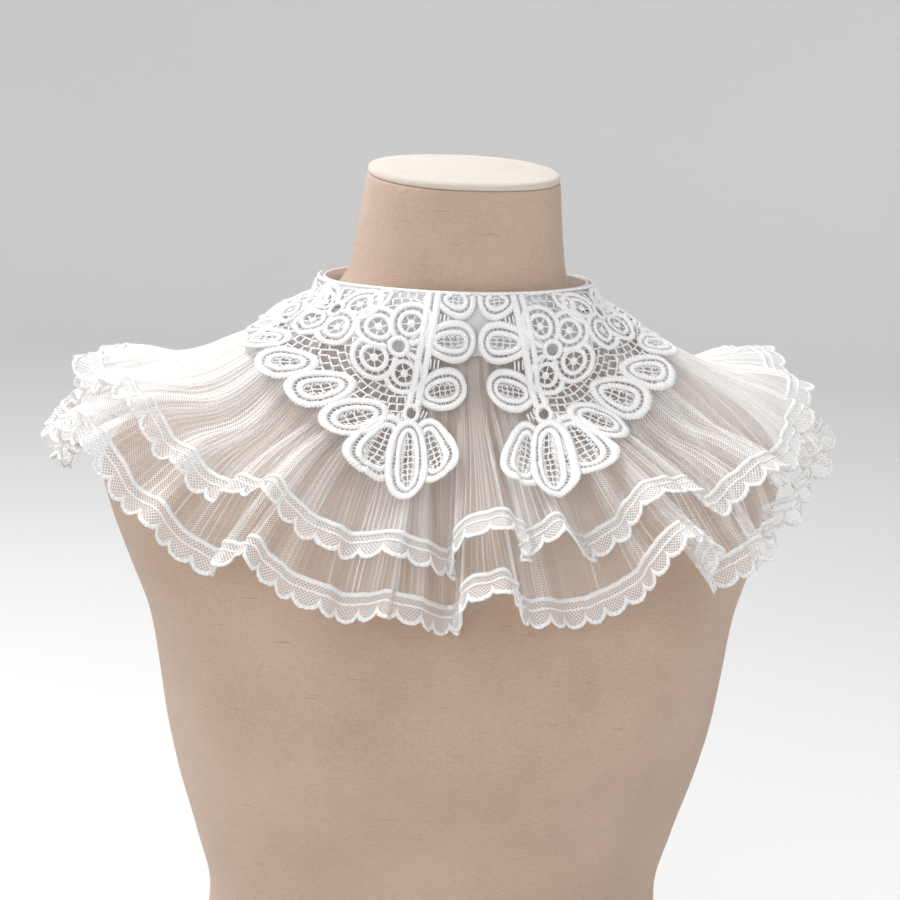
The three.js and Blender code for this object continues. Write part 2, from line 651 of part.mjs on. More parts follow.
place("form_torso", dressForm(), LINEN);
place("form_neck_cap", neckCap(), LINEN);
place("neck_band", neckBand(), SATIN);
place("yoke", yoke(lowerCloth), SATIN);
place("lower_tier", tulleTier(TIERS.lower, lowerCloth), TULLE);
place("upper_tier", tulleTier(TIERS.upper, upperCloth), TULLE);
place("lower_edging", laceEdging(TIERS.lower, lowerCloth), EDGING);
place("upper_edging", laceEdging(TIERS.upper, upperCloth), EDGING);
place("lace_left", laceHalf(laceCloth, 1), GUIPURE);
place("lace_right", laceHalf(laceCloth, -1), GUIPURE);

const buttonAngle = 180 + degrees(BAND_OVERLAP / 2 / NECKLINE.back);
const buttonSeat = bandFromTop(buttonAngle, BAND_HEIGHT / 2);
const bandFace = outward(bandFromTop, buttonAngle, BAND_HEIGHT / 2);
const fastener = place("band_button", button(), PEARL);
fastener.position.copy(buttonSeat).addScaledVector(bandFace, WALL / 2 + SEAM_GAP);
fastener.quaternion.setFromUnitVectors(new THREE.Vector3(0, 1, 0), bandFace);

export default group;
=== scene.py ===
# Looks of a two-tier pleated tulle capelet with a guipure lace collar, on a limbless linen dress form.
# Lengths are in millimetres until a mesh is made, unless a comment says metres. Angles round the neck are in
# degrees from the front centre, positive towards +X. Distances down the cloth start at the neck band's foot.
import math

import bmesh
import bpy
import numpy as np
from mathutils import Matrix, Vector


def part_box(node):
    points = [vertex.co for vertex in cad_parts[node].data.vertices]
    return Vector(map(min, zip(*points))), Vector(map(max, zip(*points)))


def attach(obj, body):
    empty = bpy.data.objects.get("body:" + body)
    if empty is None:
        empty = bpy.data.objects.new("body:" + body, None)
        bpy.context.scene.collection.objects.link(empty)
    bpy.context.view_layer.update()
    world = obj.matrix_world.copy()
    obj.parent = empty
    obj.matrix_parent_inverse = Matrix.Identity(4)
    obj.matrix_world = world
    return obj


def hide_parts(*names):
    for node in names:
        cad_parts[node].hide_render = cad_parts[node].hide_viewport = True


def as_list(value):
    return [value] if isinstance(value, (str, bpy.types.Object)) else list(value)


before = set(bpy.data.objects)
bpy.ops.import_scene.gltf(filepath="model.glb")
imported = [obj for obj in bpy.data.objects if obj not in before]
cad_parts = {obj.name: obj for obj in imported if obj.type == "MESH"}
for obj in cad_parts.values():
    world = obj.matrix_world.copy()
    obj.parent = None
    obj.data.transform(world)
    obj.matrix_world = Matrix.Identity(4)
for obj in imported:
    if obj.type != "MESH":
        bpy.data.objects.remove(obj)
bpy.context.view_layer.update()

MM = 0.001
random = np.random.default_rng(11)


def table(columns, rows):
    """Rows of values with named columns."""
    return [dict(zip(columns.split(), row)) for row in rows]


# Dress form: half-sizes of its level sections, and how far each leans to the front
FORM_SECTIONS = table("z half_width front back lean", (
    (0, 145, 98, 100, 0),
    (5, 149, 102, 104, 0),
    (35, 143, 98, 98, 0),
    (68, 134, 90, 87, 0),
    (102, 131, 87, 79, 0),
    (140, 140, 95, 83, 0),
    (178, 151, 110, 91, 0),
    (210, 158, 121, 97, 0),
    (236, 162, 123, 101, 0),
    (268, 168, 115, 105, 0),
    (300, 180, 103, 106, 0),
    (330, 191, 91, 104, 0),
    (352, 196, 83, 100, 0),
    (370, 187, 76, 95, 0),
    (386, 171, 70, 90, 0),
    (400, 150, 66, 86, 0),
    (414, 125, 62, 80, 0),
    (428, 101, 60, 73, 0),
    (440, 82, 58, 67, 0),
    (450, 69, 57, 62, 0),
    (462, 61, 55, 56, 1),
    (484, 57, 54, 53, 4),
    (516, 53, 53, 53, 9),
))
FORM_SQUARENESS = 2.2
FORM_TOP_Z = FORM_SECTIONS[-1]["z"]
NECK_TOP = {"tilt": 4, "from": 480, "over": 36}
CAP_INSET = 0.6

# Cloth of the capelet
WALL = 1
SEAM_GAP = 0.3
BACK_OPENING = 1.4
BAND_FOOT_Z = 446
BAND_HEIGHT = 12
BAND_LEAN = 3
NECKLINE = {"half_width": 77, "front": 62, "back": 70}
BAND_OVERLAP = 14
BAND_LAP = {"rise": WALL + 0.4, "from": 168, "over": 9}
YOKE_DEPTH = 22
BUTTON = {"radius": 4.5, "thickness": 2, "edge": 0.5, "bevel": 0.3, "rim": 0.9, "dip": 0.4, "sunk": 0.5,
          "back": 0.8, "tip": 0.02, "inner": 2.6, "step": 0.2, "columns": 72, "tilt": 0.25, "holes": 4,
          "hole": 0.65, "hole_edge": 0.25, "hole_reach": 1.3, "hole_depth": 1}
TIERS = {
    "lower": {"top": YOKE_DEPTH + SEAM_GAP, "length": 173, "sink": 1},
    "upper": {"top": YOKE_DEPTH - 1.5, "length": 145, "sink": 0},
}
SETTLING = 44
CLEARANCE = {"yoke": 3.5, "settled": 7.8}
SINK = {"yoke": 1.9, "settled": 5}
PLEAT_DEPTH = 0.55
EDGING_WIDTH = 17
SCALLOP_PITCH = 14
SCALLOP_DEPTH = 3.5

# The folds of both tiers in order round the neck: the hem's angles in the valley before the fold, half-way
# up its flank, on its crest and half-way down, each tier's lift in that valley and on the crest, in degrees,
# and how far down the cloth the fold starts
FOLDS = table("valley rise crest fall upper lower onset", (
    (-180, -173, -165, -159, (10, 37), (5, 30), 33),
    (-152, -146, -140, -133, (11, 40), (5, 32), 36),
    (-127, -122, -115, -107, (26, 60), (17, 47), 54),
    (-92, -78, -68, -62, (16, 66), (6, 60), 54),
    (-54, -51, -45, -41, (32, 44), (19, 34), 33),
    (-34, -27, -22, -18, (17, 25), (8, 18), 33),
    (-9, -10, -3, 4, (5, 36), (1, 29), 16),
    (6, 8, 11, 15, (21, 39), (12, 12), 32),
    (23, 25, 29, 36, (16, 51), (4, 48), 24),
    (44, 50, 56, 61, (40, 52), (21, 22), 44),
    (73, 99, 109, 118, (8, 60), (5, 45), 60),
    (126, 132, 138, 144, (15, 42), (9, 33), 36),
    (152, 158, 165, 173, (10, 37), (5, 30), 33),
))
LAST_VALLEY = {"valley": 180, "upper": 10, "lower": 5, "onset": 33}
FLANK_SHARE = 0.6
FOLD_RAMP = 58
HEM_EVENNESS = 0.75
CLOTH_BEND = 0.7

# How finely a cloth's line is followed, and the slopes in degrees that it keeps between
STEP = 3
SLOPE = {"start": 90, "steepest": 88, "flattest": -20, "step": 0.5}
SURFACE_LINES = 720

# The lace collar's two halves: each motif has its middle's angle round from the front gap and distance down
# from the band's top, its turn from level, and its size
LACE = {"gap": 1.5, "reach": 6, "bend": 0.9, "start_slope": 80, "length": 134, "neck_radius": 68,
        "flare": 0.55, "shift": -2}
# The left half hangs straighter and lower in front, from a distance down on
HANG = {"turn": 5, "drop": 8, "from": 55, "over": 55}
LACE_LEAVES = table("at down turn length width lift", (
    (10, 5.5, 176, 23, 19, 0),
    (11.5, 28, 188, 31, 22, 0),
    (14, 55, 192, 33, 24, 0),
    (15, 92.5, 111, 43, 25, 0),
    (29.5, 93.5, 87, 42, 26, 0),
    (22, 98, 101, 49, 24, 1.1),
    (37.5, 79.5, 42, 32, 25, 0),
    (48.6, 67, 40, 30, 23, 0),
    (60, 60, 38, 28, 21, 0),
    (73, 51, 28, 28, 20, 0),
    (86, 43, 20, 28, 19, 0),
    (100, 36, 12, 28, 18, 0),
))
# Each flower has a petal at its turn and the others after it, and none where a fifth would point
LACE_FLOWERS = table("at down turn scale", (
    (30.8, 34, 252, 1),
    (59, 18, 340, 0.95),
    (86, 18, 340, 0.9),
))
FLOWER = {"petals": 4, "spacing": 72, "reach": 14, "length": 25, "width": 23.5}
GROUND_CORNERS = (
    (18, 0), (64, 0), (108, 0), (108, 30), (98, 36), (85, 42), (72, 49), (60, 57), (48.6, 63), (37, 75),
    (28, 78), (21, 76), (21.5, 60), (19.5, 40), (18, 19),
)
BLUNTNESS = 0.2
FULL_ENDS = {"from": 1.55, "share": 0.22}


def smooth(x):
    x = np.clip(x, 0, 1)
    return x * x * (3 - 2 * x)


def wave(angle, count, start=0.0):
    """A sine that swings a number of times round the neck."""
    return np.sin(np.radians(angle * count) + start)


def bell(angle, at, width):
    """A bump that is 1 at an angle and fades out over a width."""
    return np.exp(-((angle - at) / width) ** 2)


def read_table(rows, key, column, at):
    """A column of a table read smoothly between its rows, with no overshoot."""
    x = np.array([row[key] for row in rows], float)
    y = np.array([row[column] for row in rows], float)
    rise = np.diff(y) / np.diff(x)
    product = rise[:-1] * rise[1:]
    total = rise[:-1] + rise[1:]
    inner = np.where(product > 0, 2 * product / np.where(product > 0, total, 1), 0)
    slope = np.concatenate(([rise[0]], inner, [rise[-1]]))
    at = np.clip(at, x[0], x[-1])
    i = np.clip(np.searchsorted(x, at, side="right") - 1, 0, len(x) - 2)
    span = x[i + 1] - x[i]
    t = (at - x[i]) / span
    levels = y[i] * (1 + 2 * t) * (1 - t) ** 2 + y[i + 1] * t * t * (3 - 2 * t)
    return levels + span * (slope[i] * t * (1 - t) ** 2 - slope[i + 1] * t * t * (1 - t))


def oval_radius(oval, angle, power):
    """Distance from the axis to an oval with its own front and back depths, in a direction."""
    across = np.abs(np.sin(np.radians(angle))) / oval["half_width"]
    cosine = np.cos(np.radians(angle))
    along = np.abs(cosine) / np.where(cosine > 0, oval["front"], oval["back"])
    return (across ** power + along ** power) ** (-1 / power)


def polar(angle, radius, z):
    """Points at an angle, a distance from the axis and a height."""
    turn = np.radians(angle)
    x, y, height = np.broadcast_arrays(radius * np.sin(turn), -radius * np.cos(turn), z)
    return np.stack([x, y, height], -1)


def pairs(first, second):
    """Flat points with these first and second coordinates."""
    return np.stack(np.broadcast_arrays(first, second), -1)


def round_angles(count):
    return 360 * np.arange(count) / count


def round_points(degrees, reach):
    """Points at some directions and one distance from the origin."""
    turn = np.radians(degrees)
    return pairs(np.cos(turn), np.sin(turn)) * reach


def travelled(steps):
    """How far along a line each of its points is, from the steps between them."""
    return np.concatenate(([0], np.cumsum(np.linalg.norm(steps, axis=1))))


FORM_HEIGHTS = np.arange(-60, FORM_TOP_Z + 1, 0.5)
FORM_READ = {column: read_table(FORM_SECTIONS, "z", column, FORM_HEIGHTS)
             for column in ("half_width", "front", "back", "lean")}


def form_section(z):
    return {column: np.interp(z, FORM_HEIGHTS, values) for column, values in FORM_READ.items()}


def form_radius(angle, z):
    return oval_radius(form_section(z), angle, FORM_SQUARENESS)


def clear_of_form(angle, z, clearance):
    """Distance from the axis to where something lies at a clearance square to the form."""
    slant = (form_radius(angle, z - 1) - form_radius(angle, z + 1)) / 2
    return form_radius(angle, z) + clearance * np.hypot(1, slant)


def settling(value, s):
    return value["yoke"] + (value["settled"] - value["yoke"]) * smooth((s - YOKE_DEPTH) / SETTLING)


def fall(r, z, slope, bend, turn, reach_at):
    """A step down a line: it bends down as far as it can, but stays outside what reaches out under it."""
    slope = np.minimum(SLOPE["steepest"], slope + bend * STEP)
    while True:
        ahead = r + STEP * np.cos(np.radians(slope))
        below = z - STEP * np.sin(np.radians(slope))
        inside = (slope > SLOPE["flattest"]) & (ahead < reach_at(below))
        if not inside.any():
            return ahead, below, slope
        slope = np.where(inside, slope - turn, slope)


def cloth_lines(at, hem, lift, onset, length):
    """The cloth's lines down a tier: each hugs the form, bends stiffly and lifts off into its fold."""
    rest_r = oval_radius(NECKLINE, at, 2) + SINK["yoke"]
    rest_z = np.full_like(rest_r, BAND_FOOT_Z)
    r, z = rest_r.copy(), rest_z.copy()
    slope = np.full_like(rest_r, SLOPE["start"])
    lines = [polar(at, r, z)]
    for s in np.arange(STEP, length + 2 * STEP + 0.1, STEP):
        gap = settling(CLEARANCE, s)
        angle = at + (hem - at) * np.clip((s - YOKE_DEPTH) / (TIERS["upper"]["length"] - YOKE_DEPTH), 0, 1)
        rest_r, rest_z, slope = fall(rest_r, rest_z, slope, CLOTH_BEND, SLOPE["step"],
                                     lambda height: clear_of_form(angle, height, gap))
        lifted = np.radians(slope - lift * smooth((s - onset) / FOLD_RAMP))
        r = r + STEP * np.cos(lifted)
        z = z - STEP * np.sin(lifted)
        lines.append(polar(angle, r, z))
    return np.stack(lines, 1)


def hem_run(tier):
    """The hem's run of valleys, flanks and crests, each with its lift in a tier."""
    rows = []
    for fold, after in zip(FOLDS, [*FOLDS[1:], LAST_VALLEY]):
        (low, high), onset = fold[tier], fold["onset"]
        following = after[tier] if after is LAST_VALLEY else after[tier][0]
        rows += [
            {"hem": fold["valley"], "lift": low, "onset": onset},
            {"hem": fold["rise"], "lift": low + (high - low) * FLANK_SHARE, "onset": onset},
            {"hem": fold["crest"], "lift": high, "onset": onset},
            {"hem": fold["fall"], "lift": following + (high - following) * FLANK_SHARE, "onset": onset},
        ]
    last = {"hem": LAST_VALLEY["valley"], "lift": LAST_VALLEY[tier], "onset": LAST_VALLEY["onset"]}
    return [*rows, last]


def gathered_runs():
    """Where each part of the hem comes from at the yoke: its length is shared out nearly evenly."""
    runs = {tier: hem_run(tier) for tier in TIERS}
    total = 0
    for tier, run in runs.items():
        hem, lift, onset = (np.array([row[key] for row in run], float) for key in ("hem", "lift", "onset"))
        ends = cloth_lines(hem, hem, lift, onset, TIERS[tier]["length"])[:, -1]
        total = total + travelled(np.diff(ends, axis=0))
    for run in runs.values():
        for row, share in zip(run, total / total[-1]):
            row["at"] = row["hem"] + (360 * share - 180 - row["hem"]) * HEM_EVENNESS
    return runs


def unit(vectors):
    return vectors / np.maximum(np.linalg.norm(vectors, axis=-1, keepdims=True), 1e-9)


class Surface:
    """Points whose lines start at even angles from -180 to 180, and their outward directions."""

    def __init__(self, points):
        self.points = points
        self.spacing = 360 / (len(points) - 1)
        down = np.gradient(points, axis=1)
        ringed = np.concatenate([points[-2:-1], points, points[1:2]])
        self.outward = unit(np.cross(down, ringed[2:] - ringed[:-2]))

    def mix(self, grid, angle, s):
        angle, s = np.broadcast_arrays(angle, s)
        across = np.clip((angle + 180) / self.spacing, 0, len(grid) - 1.001)
        down = np.clip(s / STEP, 0, grid.shape[1] - 1.001)
        i, j = across.astype(int), down.astype(int)
        u, v = (across - i)[..., None], (down - j)[..., None]
        before = grid[i, j] * (1 - v) + grid[i, j + 1] * v
        after = grid[i + 1, j] * (1 - v) + grid[i + 1, j + 1] * v
        return before * (1 - u) + after * u

    def at(self, angle, s, out=0):
        """Points at an angle and a distance down, moved out."""
        out = np.broadcast_to(out, np.broadcast(angle, s).shape)[..., None]
        return self.mix(self.points, angle, s) + unit(self.mix(self.outward, angle, s)) * out


def turns(count):
    return np.linspace(-180, 180, count + 1)


def tier_surface(tier, run):
    at = turns(SURFACE_LINES)
    hem, lift, onset = (read_table(run, "at", column, at) for column in ("hem", "lift", "onset"))
    sheet = cloth_lines(at, hem, lift, onset, TIERS[tier]["length"])
    sink = TIERS[tier]["sink"] * settling(SINK, np.arange(sheet.shape[1]) * STEP)
    return Surface(sheet - Surface(sheet).outward * sink[None, :, None])


def band_surface(angle, height):
    """The neck band stands up from the yoke, and its end laps outside its start at the back."""
    lap = BAND_LAP["rise"] * smooth((angle - BAND_LAP["from"]) / BAND_LAP["over"])
    r = oval_radius(NECKLINE, angle, 2) - BAND_LEAN * height / BAND_HEIGHT + lap
    return polar(angle, r, BAND_FOOT_Z + SEAM_GAP + height)


def reach_table(cloth):
    """How far out the band and the upper tier reach at each whole degree and millimetre of height."""
    heights = BAND_FOOT_Z + 2 * BAND_HEIGHT
    reaches = np.zeros((360, heights))
    fine = turns(2 * SURFACE_LINES)[:, None]
    falls = cloth.at(fine, np.arange(TIERS["upper"]["length"])[None, :])
    stands = band_surface(np.minimum(fine, BAND_LAP["from"]), np.arange(BAND_HEIGHT + 1)[None, :])
    points = np.concatenate([falls.reshape(-1, 3), stands.reshape(-1, 3)])
    column = np.round(np.degrees(np.arctan2(points[:, 0], -points[:, 1]))).astype(int) % 360
    for z in (np.floor(points[:, 2]).astype(int), np.ceil(points[:, 2]).astype(int)):
        np.maximum.at(reaches, (column, z), np.hypot(points[:, 0], points[:, 1]))
    window = range(-LACE["reach"], LACE["reach"] + 1)
    widest = np.max([np.roll(reaches, -turn, axis=0) for turn in window], axis=0)
    return np.mean([np.roll(widest, -turn, axis=0) for turn in window], axis=0)


def lace_surface(cloth):
    """The lace lies on the band, the yoke and the upper tier, and falls stiffly where they fall away."""
    reaches = reach_table(cloth)
    gap = WALL / 2 + PLEAT_DEPTH + LACE["gap"]
    angle = turns(360)
    column = np.round(angle).astype(int) % 360
    top = band_surface(np.minimum(angle, BAND_LAP["from"]), BAND_HEIGHT)
    slope = np.full(len(angle), float(LACE["start_slope"]))
    r, z = np.hypot(top[:, 0], top[:, 1]) + gap, top[:, 2]
    lines = [polar(angle, r, z)]

    def reach_at(height):
        level = np.floor(height).astype(int)
        return np.maximum(reaches[column, level], reaches[column, level + 1]) + gap

    for _ in range(LACE["length"] // STEP):
        r, z, slope = fall(r, z, slope, LACE["bend"], SLOPE["step"] / 2, reach_at)
        lines.append(polar(angle, r, z))
    return Surface(np.stack(lines, 1))


runs = gathered_runs()
lower_cloth, upper_cloth = (tier_surface(tier, runs[tier]) for tier in ("lower", "upper"))
lace_cloth = lace_surface(upper_cloth)
BACK_EDGE = math.degrees(BACK_OPENING / 2 / NECKLINE["back"])


def spread(count, start=BACK_EDGE - 180, end=180 - BACK_EDGE):
    return np.linspace(start, end, count + 1)


def line_length(surface, s):
    points = surface.at(spread(2 * SURFACE_LINES), s)
    return float(np.linalg.norm(np.diff(points, axis=0), axis=1).sum())


def add_object(name, data):
    thing = bpy.data.objects.new(name, data)
    bpy.context.scene.collection.objects.link(thing)
    return thing


def make_mesh(name, points, faces, uv=None, values=None):
    """A mesh object from points in millimetres and faces of one size, with pattern places and values."""
    points = np.asarray(points, np.float32).reshape(-1, 3) * MM
    faces = np.asarray(faces, np.int32)
    mesh = bpy.data.meshes.new(name)
    corners = faces.shape[1]
    mesh.vertices.add(len(points))
    mesh.vertices.foreach_set("co", points.ravel())
    mesh.loops.add(faces.size)
    mesh.loops.foreach_set("vertex_index", faces.ravel())
    mesh.polygons.add(len(faces))
    mesh.polygons.foreach_set("loop_start", np.arange(0, faces.size, corners, dtype=np.int32))
    mesh.update(calc_edges=True)
    mesh.polygons.foreach_set("use_smooth", np.ones(len(faces), bool))
    if uv is not None:
        layer = mesh.uv_layers.new(name="pattern")
        layer.data.foreach_set("uv", np.asarray(uv, np.float32).reshape(-1, 2)[faces.ravel()].ravel())
    for key, value in (values or {}).items():
        attribute = mesh.attributes.new(key, "FLOAT", "POINT")
        attribute.data.foreach_set("value", np.asarray(value, np.float32).ravel())
    mesh.validate()
    return add_object(name, mesh)


def grid_faces(rows, columns, closed=False):
    """Quads of a grid of points, facing out where rows go down and columns go round from -180 to 180."""
    index = np.arange(rows * columns).reshape(rows, columns)
    after = np.roll(index, -1, axis=1) if closed else index[:, 1:]
    before = index if closed else index[:, :-1]
    return np.stack([before[:-1], before[1:], after[1:], after[:-1]], -1).reshape(-1, 4)


BLUNT_END = 0.6          # a cord's end is this much of its thickness
PATTERN_UNIT = 10        # the pattern coordinates of cords count in these millimetres


class Relief:
    """Cords laid out in a flat pattern of places round, down and out, before they are set on a cloth.

    A level step is longer on the cloth by a share for each millimetre down, the widening.
    """

    def __init__(self, widening=0.0):
        self.points, self.faces, self.stitches, self.count = [], [], [], 0
        self.widening = widening

    def level(self, path):
        return 1 + self.widening * path[..., 1]

    def evened(self, path, step, closed=False):
        """A path's points at even steps, an even number of them."""
        path = np.asarray(path, float)
        if closed:
            path = np.concatenate([path, path[:1]])
        steps = np.diff(path, axis=0)
        steps[:, 0] *= self.level((path[1:] + path[:-1]) / 2)
        along = travelled(steps)
        count = max(2, 2 * round(along[-1] / step / 2))
        marks = np.linspace(0, along[-1], count, endpoint=not closed)
        return pairs(*(np.interp(marks, along, path[:, axis]) for axis in (0, 1)))

    def sideways(self, path, closed=False):
        """Steps of one millimetre square to a path, as they are in the flat pattern."""
        if closed:
            along = np.roll(path, -1, axis=0) - np.roll(path, 1, axis=0)
        else:
            along = np.gradient(path, axis=0)
        level = self.level(path)
        along[:, 0] *= level
        along /= np.maximum(np.linalg.norm(along, axis=1, keepdims=True), 1e-9)
        return pairs(-along[:, 1] / level, along[:, 0])

    def cord(self, path, half_width, half_height, out, closed=False, sides=6, bead=0.0):
        """A cord along a path, with stitches that bead it, and blunt ends unless it is closed."""
        path = np.asarray(path, float)
        across = self.sideways(path, closed)
        stitch = 1 + bead * np.where(np.arange(len(path)) % 2, 1.0, -1.0)
        if not closed:
            stitch[[0, -1]] *= BLUNT_END
        turn = 2 * np.pi * (np.arange(sides) + 0.5) / sides
        reach = half_width * stitch / math.cos(math.pi / sides)
        flat = path[:, None] + across[:, None] * (reach[:, None] * np.cos(turn))[..., None]
        height = out + (half_height * stitch)[:, None] * np.sin(turn)
        self.skin(np.concatenate([flat, height[..., None]], -1), closed)

    def lay(self, path, cord, scale=1.0, lift=0.0, closed=False):
        """Lays one of the named cords along a path."""
        width, height = cord["half_width"] * scale, cord["half_height"]
        self.cord(path, width, height, cord["out"] + lift, closed, bead=cord["bead"])

    def strip(self, upper, lower, half_height, out):
        """A low padded strip between two edges that run side by side."""
        shares = np.array([0, 0.25, 0.75, 1, 0.75, 0.25])[None, :, None]
        lifts = np.array([0, 1, 1, 0, -1, -1])
        flat = upper[:, None] * (1 - shares) + lower[:, None] * shares
        height = np.broadcast_to(out + half_height * lifts, flat.shape[:2])
        self.skin(np.concatenate([flat, height[..., None]], -1), closed=False)

    def skin(self, rings, closed):
        """Quads between rings of an even number of points, and flat ends where they don't close."""
        count, sides = rings.shape[:2]
        index = np.arange(count * sides).reshape(count, sides)
        ahead = np.roll(index, -1, axis=0) if closed else index[1:]
        here = index if closed else index[:-1]
        faces = [np.stack([here, np.roll(here, -1, 1), np.roll(ahead, -1, 1), ahead], -1).reshape(-1, 4)]
        if not closed:
            fan = np.array([(0, k, k + 1, k + 2) for k in range(1, sides - 2, 2)])
            faces += [index[0][fan][:, ::-1], index[-1][fan]]
        self.points.append(rings.reshape(-1, 3))
        # Every other ring is marked; the thread material darkens the marked rings as painted shade, so that a
        # cord's stitches read as ribs.
        self.stitches.append(np.repeat(np.arange(count) % 2, sides))
        self.faces.append(np.concatenate(faces) + self.count)
        self.count += count * sides

    def laid(self, name, place, flip=False):
        """The relief as one mesh, with its pattern points set by a function."""
        pattern = np.concatenate(self.points)
        faces = np.concatenate(self.faces)
        return make_mesh(name, place(pattern), faces[:, ::-1] if flip else faces,
                         uv=pattern[:, :2] / PATTERN_UNIT, values={"stitch": np.concatenate(self.stitches)})


# Materials

# The two nets: a hole's pitch round and down, where a thread's slope starts and ends between 0 in a hole and
# 1 on a thread, and how much the hole and the thread cover
TULLE_NET = {"round": 2.2, "down": 1.5, "from": 0.45, "to": 0.88, "hole": 0.02, "thread": 0.42}
EDGING_NET = {"round": 2.1, "down": 2.1, "from": 0.4, "to": 0.75, "hole": 0.1, "thread": 0.8}
# How finely ribs, threads and flecks are drawn across, from front to back and upwards, for each metre
SATIN_RIBS = (300, 300, 3000)
WEFT = (260, 260, 2600)
WARP = (2400, 2400, 200)
FLECKS = (60, 60, 900)
FLECK_COLOR = (0.30, 0.20, 0.13)


class Shader:
    """A new material's nodes. Each input is given a value or another node's output."""

    def __init__(self, name, color, roughness, **inputs):
        self.material = bpy.data.materials.new(name)
        self.material.use_nodes = True
        self.tree = self.material.node_tree
        self.give(Base_Color=(*color, 1), Roughness=roughness, **inputs)

    def fill(self, slot, value):
        if isinstance(value, bpy.types.NodeSocket):
            self.tree.links.new(value, slot)
        else:
            slot.default_value = value

    def give(self, **inputs):
        """Fills inputs of the surface itself."""
        for key, value in inputs.items():
            self.fill(self.tree.nodes["Principled BSDF"].inputs[key.replace("_", " ")], value)

    def add(self, kind, **values):
        node = self.tree.nodes.new("ShaderNode" + kind)
        for key, value in values.items():
            if hasattr(node, key):
                setattr(node, key, value)
            else:
                self.fill(node.inputs[key.replace("_", " ")], value)
        return node

    def math(self, operation, *values):
        node = self.add("Math", operation=operation)
        for slot, value in zip(node.inputs, values):
            self.fill(slot, value)
        return node.outputs[0]

    def ranged(self, value, low, high, new_low, new_high):
        node = self.add("MapRange", Value=value, From_Min=low, From_Max=high, To_Min=new_low, To_Max=new_high)
        return node.outputs["Result"]

    def noise(self, scale=1, stretch=(1, 1, 1), detail=2.0):
        """Noise over the object's own coordinates in metres."""
        coordinates = self.add("TexCoord").outputs["Object"]
        place = self.add("Mapping", Vector=coordinates, Scale=stretch).outputs["Vector"]
        return self.add("TexNoise", Vector=place, Scale=scale, Detail=detail).outputs["Fac"]

    def clouds(self, scale, low, high):
        """Soft noise that mostly lies between two levels."""
        return self.ranged(self.noise(scale), 0.3, 0.7, low, high)

    def value(self, name):
        return self.add("Attribute", attribute_name=name).outputs["Fac"]

    def tint(self, factor, first, second):
        """The colour that runs from one to another with a factor."""
        ramp = self.add("ValToRGB", Fac=factor)
        for element, color in zip(ramp.color_ramp.elements, (first, second)):
            element.color = (*color, 1)
        return ramp.outputs["Color"]

    def bump(self, height, depth, strength):
        """Relief of a depth in millimetres."""
        node = self.add("Bump", Height=height, Distance=depth * MM, Strength=strength)
        self.give(Normal=node.outputs["Normal"])


def net_of(shader, net):
    """How much a fine net of slanting threads covers, with its threads raised."""
    pattern = shader.add("SeparateXYZ", Vector=shader.add("UVMap", uv_map="pattern").outputs["UV"]).outputs
    column, row = (shader.math("MULTIPLY", pattern[axis], math.pi / net[pitch])
                   for axis, pitch in (("X", "round"), ("Y", "down")))
    slants = [shader.math(sign, row, column) for sign in ("ADD", "SUBTRACT")]
    swings = [shader.math("ABSOLUTE", shader.math("SINE", slant)) for slant in slants]
    threads = shader.math("SUBTRACT", 1, shader.math("MINIMUM", *swings))
    shader.bump(threads, 0.2, 0.6)
    return shader.ranged(threads, net["from"], net["to"], net["hole"], net["thread"])


def tulle_material():
    """A net that covers more where it gathers, and most on its pleats' ridges. Its cover also carries the
    tiers' painted light and shade, from their veil values.
    """
    shader = Shader("tulle", (0.965, 0.945, 0.93), 0.8, Sheen_Weight=0.15, Sheen_Roughness=0.5)
    cover = shader.math("MULTIPLY", net_of(shader, TULLE_NET), shader.clouds(40, 0.9, 1.12))
    cover = shader.math("MULTIPLY", cover, shader.value("veil"))
    ridge = shader.math("MULTIPLY", shader.math("POWER", shader.value("ridge"), 1.6), 0.95)
    cover = shader.math("ADD", cover, ridge)
    shader.give(Alpha=shader.add("Clamp", Value=cover).outputs["Result"])
    return shader.material


def net_material():
    shader = Shader("edging_net", (0.94, 0.93, 0.92), 0.7, Sheen_Weight=0.2)
    shader.give(Alpha=net_of(shader, EDGING_NET))
    return shader.material


def thread_material(name, color, scale):
    """Thick white embroidery thread, with fine stitches across it shown by painted shade on every other ring
    of its cords.
    """
    shader = Shader(name, color, 0.62, Sheen_Weight=0.3, Sheen_Roughness=0.4)
    fine = shader.noise(scale, detail=4)
    # Painted shade: every other ring of a cord is darkened, so that its stitches read as ribs.
    painted_rib_shade = shader.math("MULTIPLY", shader.value("stitch"), 0.85)
    shade = shader.math("ADD", painted_rib_shade, shader.ranged(fine, 0.35, 0.65, 0, 0.5))
    shader.give(Base_Color=shader.tint(shade, color, tuple(0.8 * level for level in color)))
    shader.bump(fine, 0.6, 0.7)
    return shader.material


def satin_material():
    shader = Shader("satin", (0.86, 0.85, 0.87), 0.38, Sheen_Weight=0.3)
    shader.bump(shader.noise(stretch=SATIN_RIBS, detail=3), 0.2, 0.4)
    shader.give(Roughness=shader.clouds(90, 0.3, 0.5))
    return shader.material


def linen_material(name, first, second, speck):
    """Plain-woven linen: level and upright threads, soft blotches, and a few dark flecks in the weft."""
    shader = Shader(name, first, 0.85, Sheen_Weight=0.2, Sheen_Roughness=0.6)
    weave = shader.math("ADD", shader.noise(stretch=WEFT, detail=3), shader.noise(stretch=WARP, detail=3))
    shade = shader.math("MULTIPLY", shader.ranged(weave, 0.75, 1.25, -0.1, 1.1), 0.5)
    cloth = shader.tint(shader.math("ADD", shade, shader.clouds(14, 0, 0.5)), first, second)
    dark = shader.ranged(shader.noise(stretch=FLECKS, detail=1), 0.72, 0.78, 0, speck)
    mix = shader.add("Mix", data_type="RGBA", blend_type="MIX")
    for slot, value in ((0, dark), (6, cloth), (7, (*FLECK_COLOR, 1))):
        shader.fill(mix.inputs[slot], value)
    shader.give(Base_Color=mix.outputs[2])
    shader.bump(weave, 0.6, 0.6)
    return shader.material


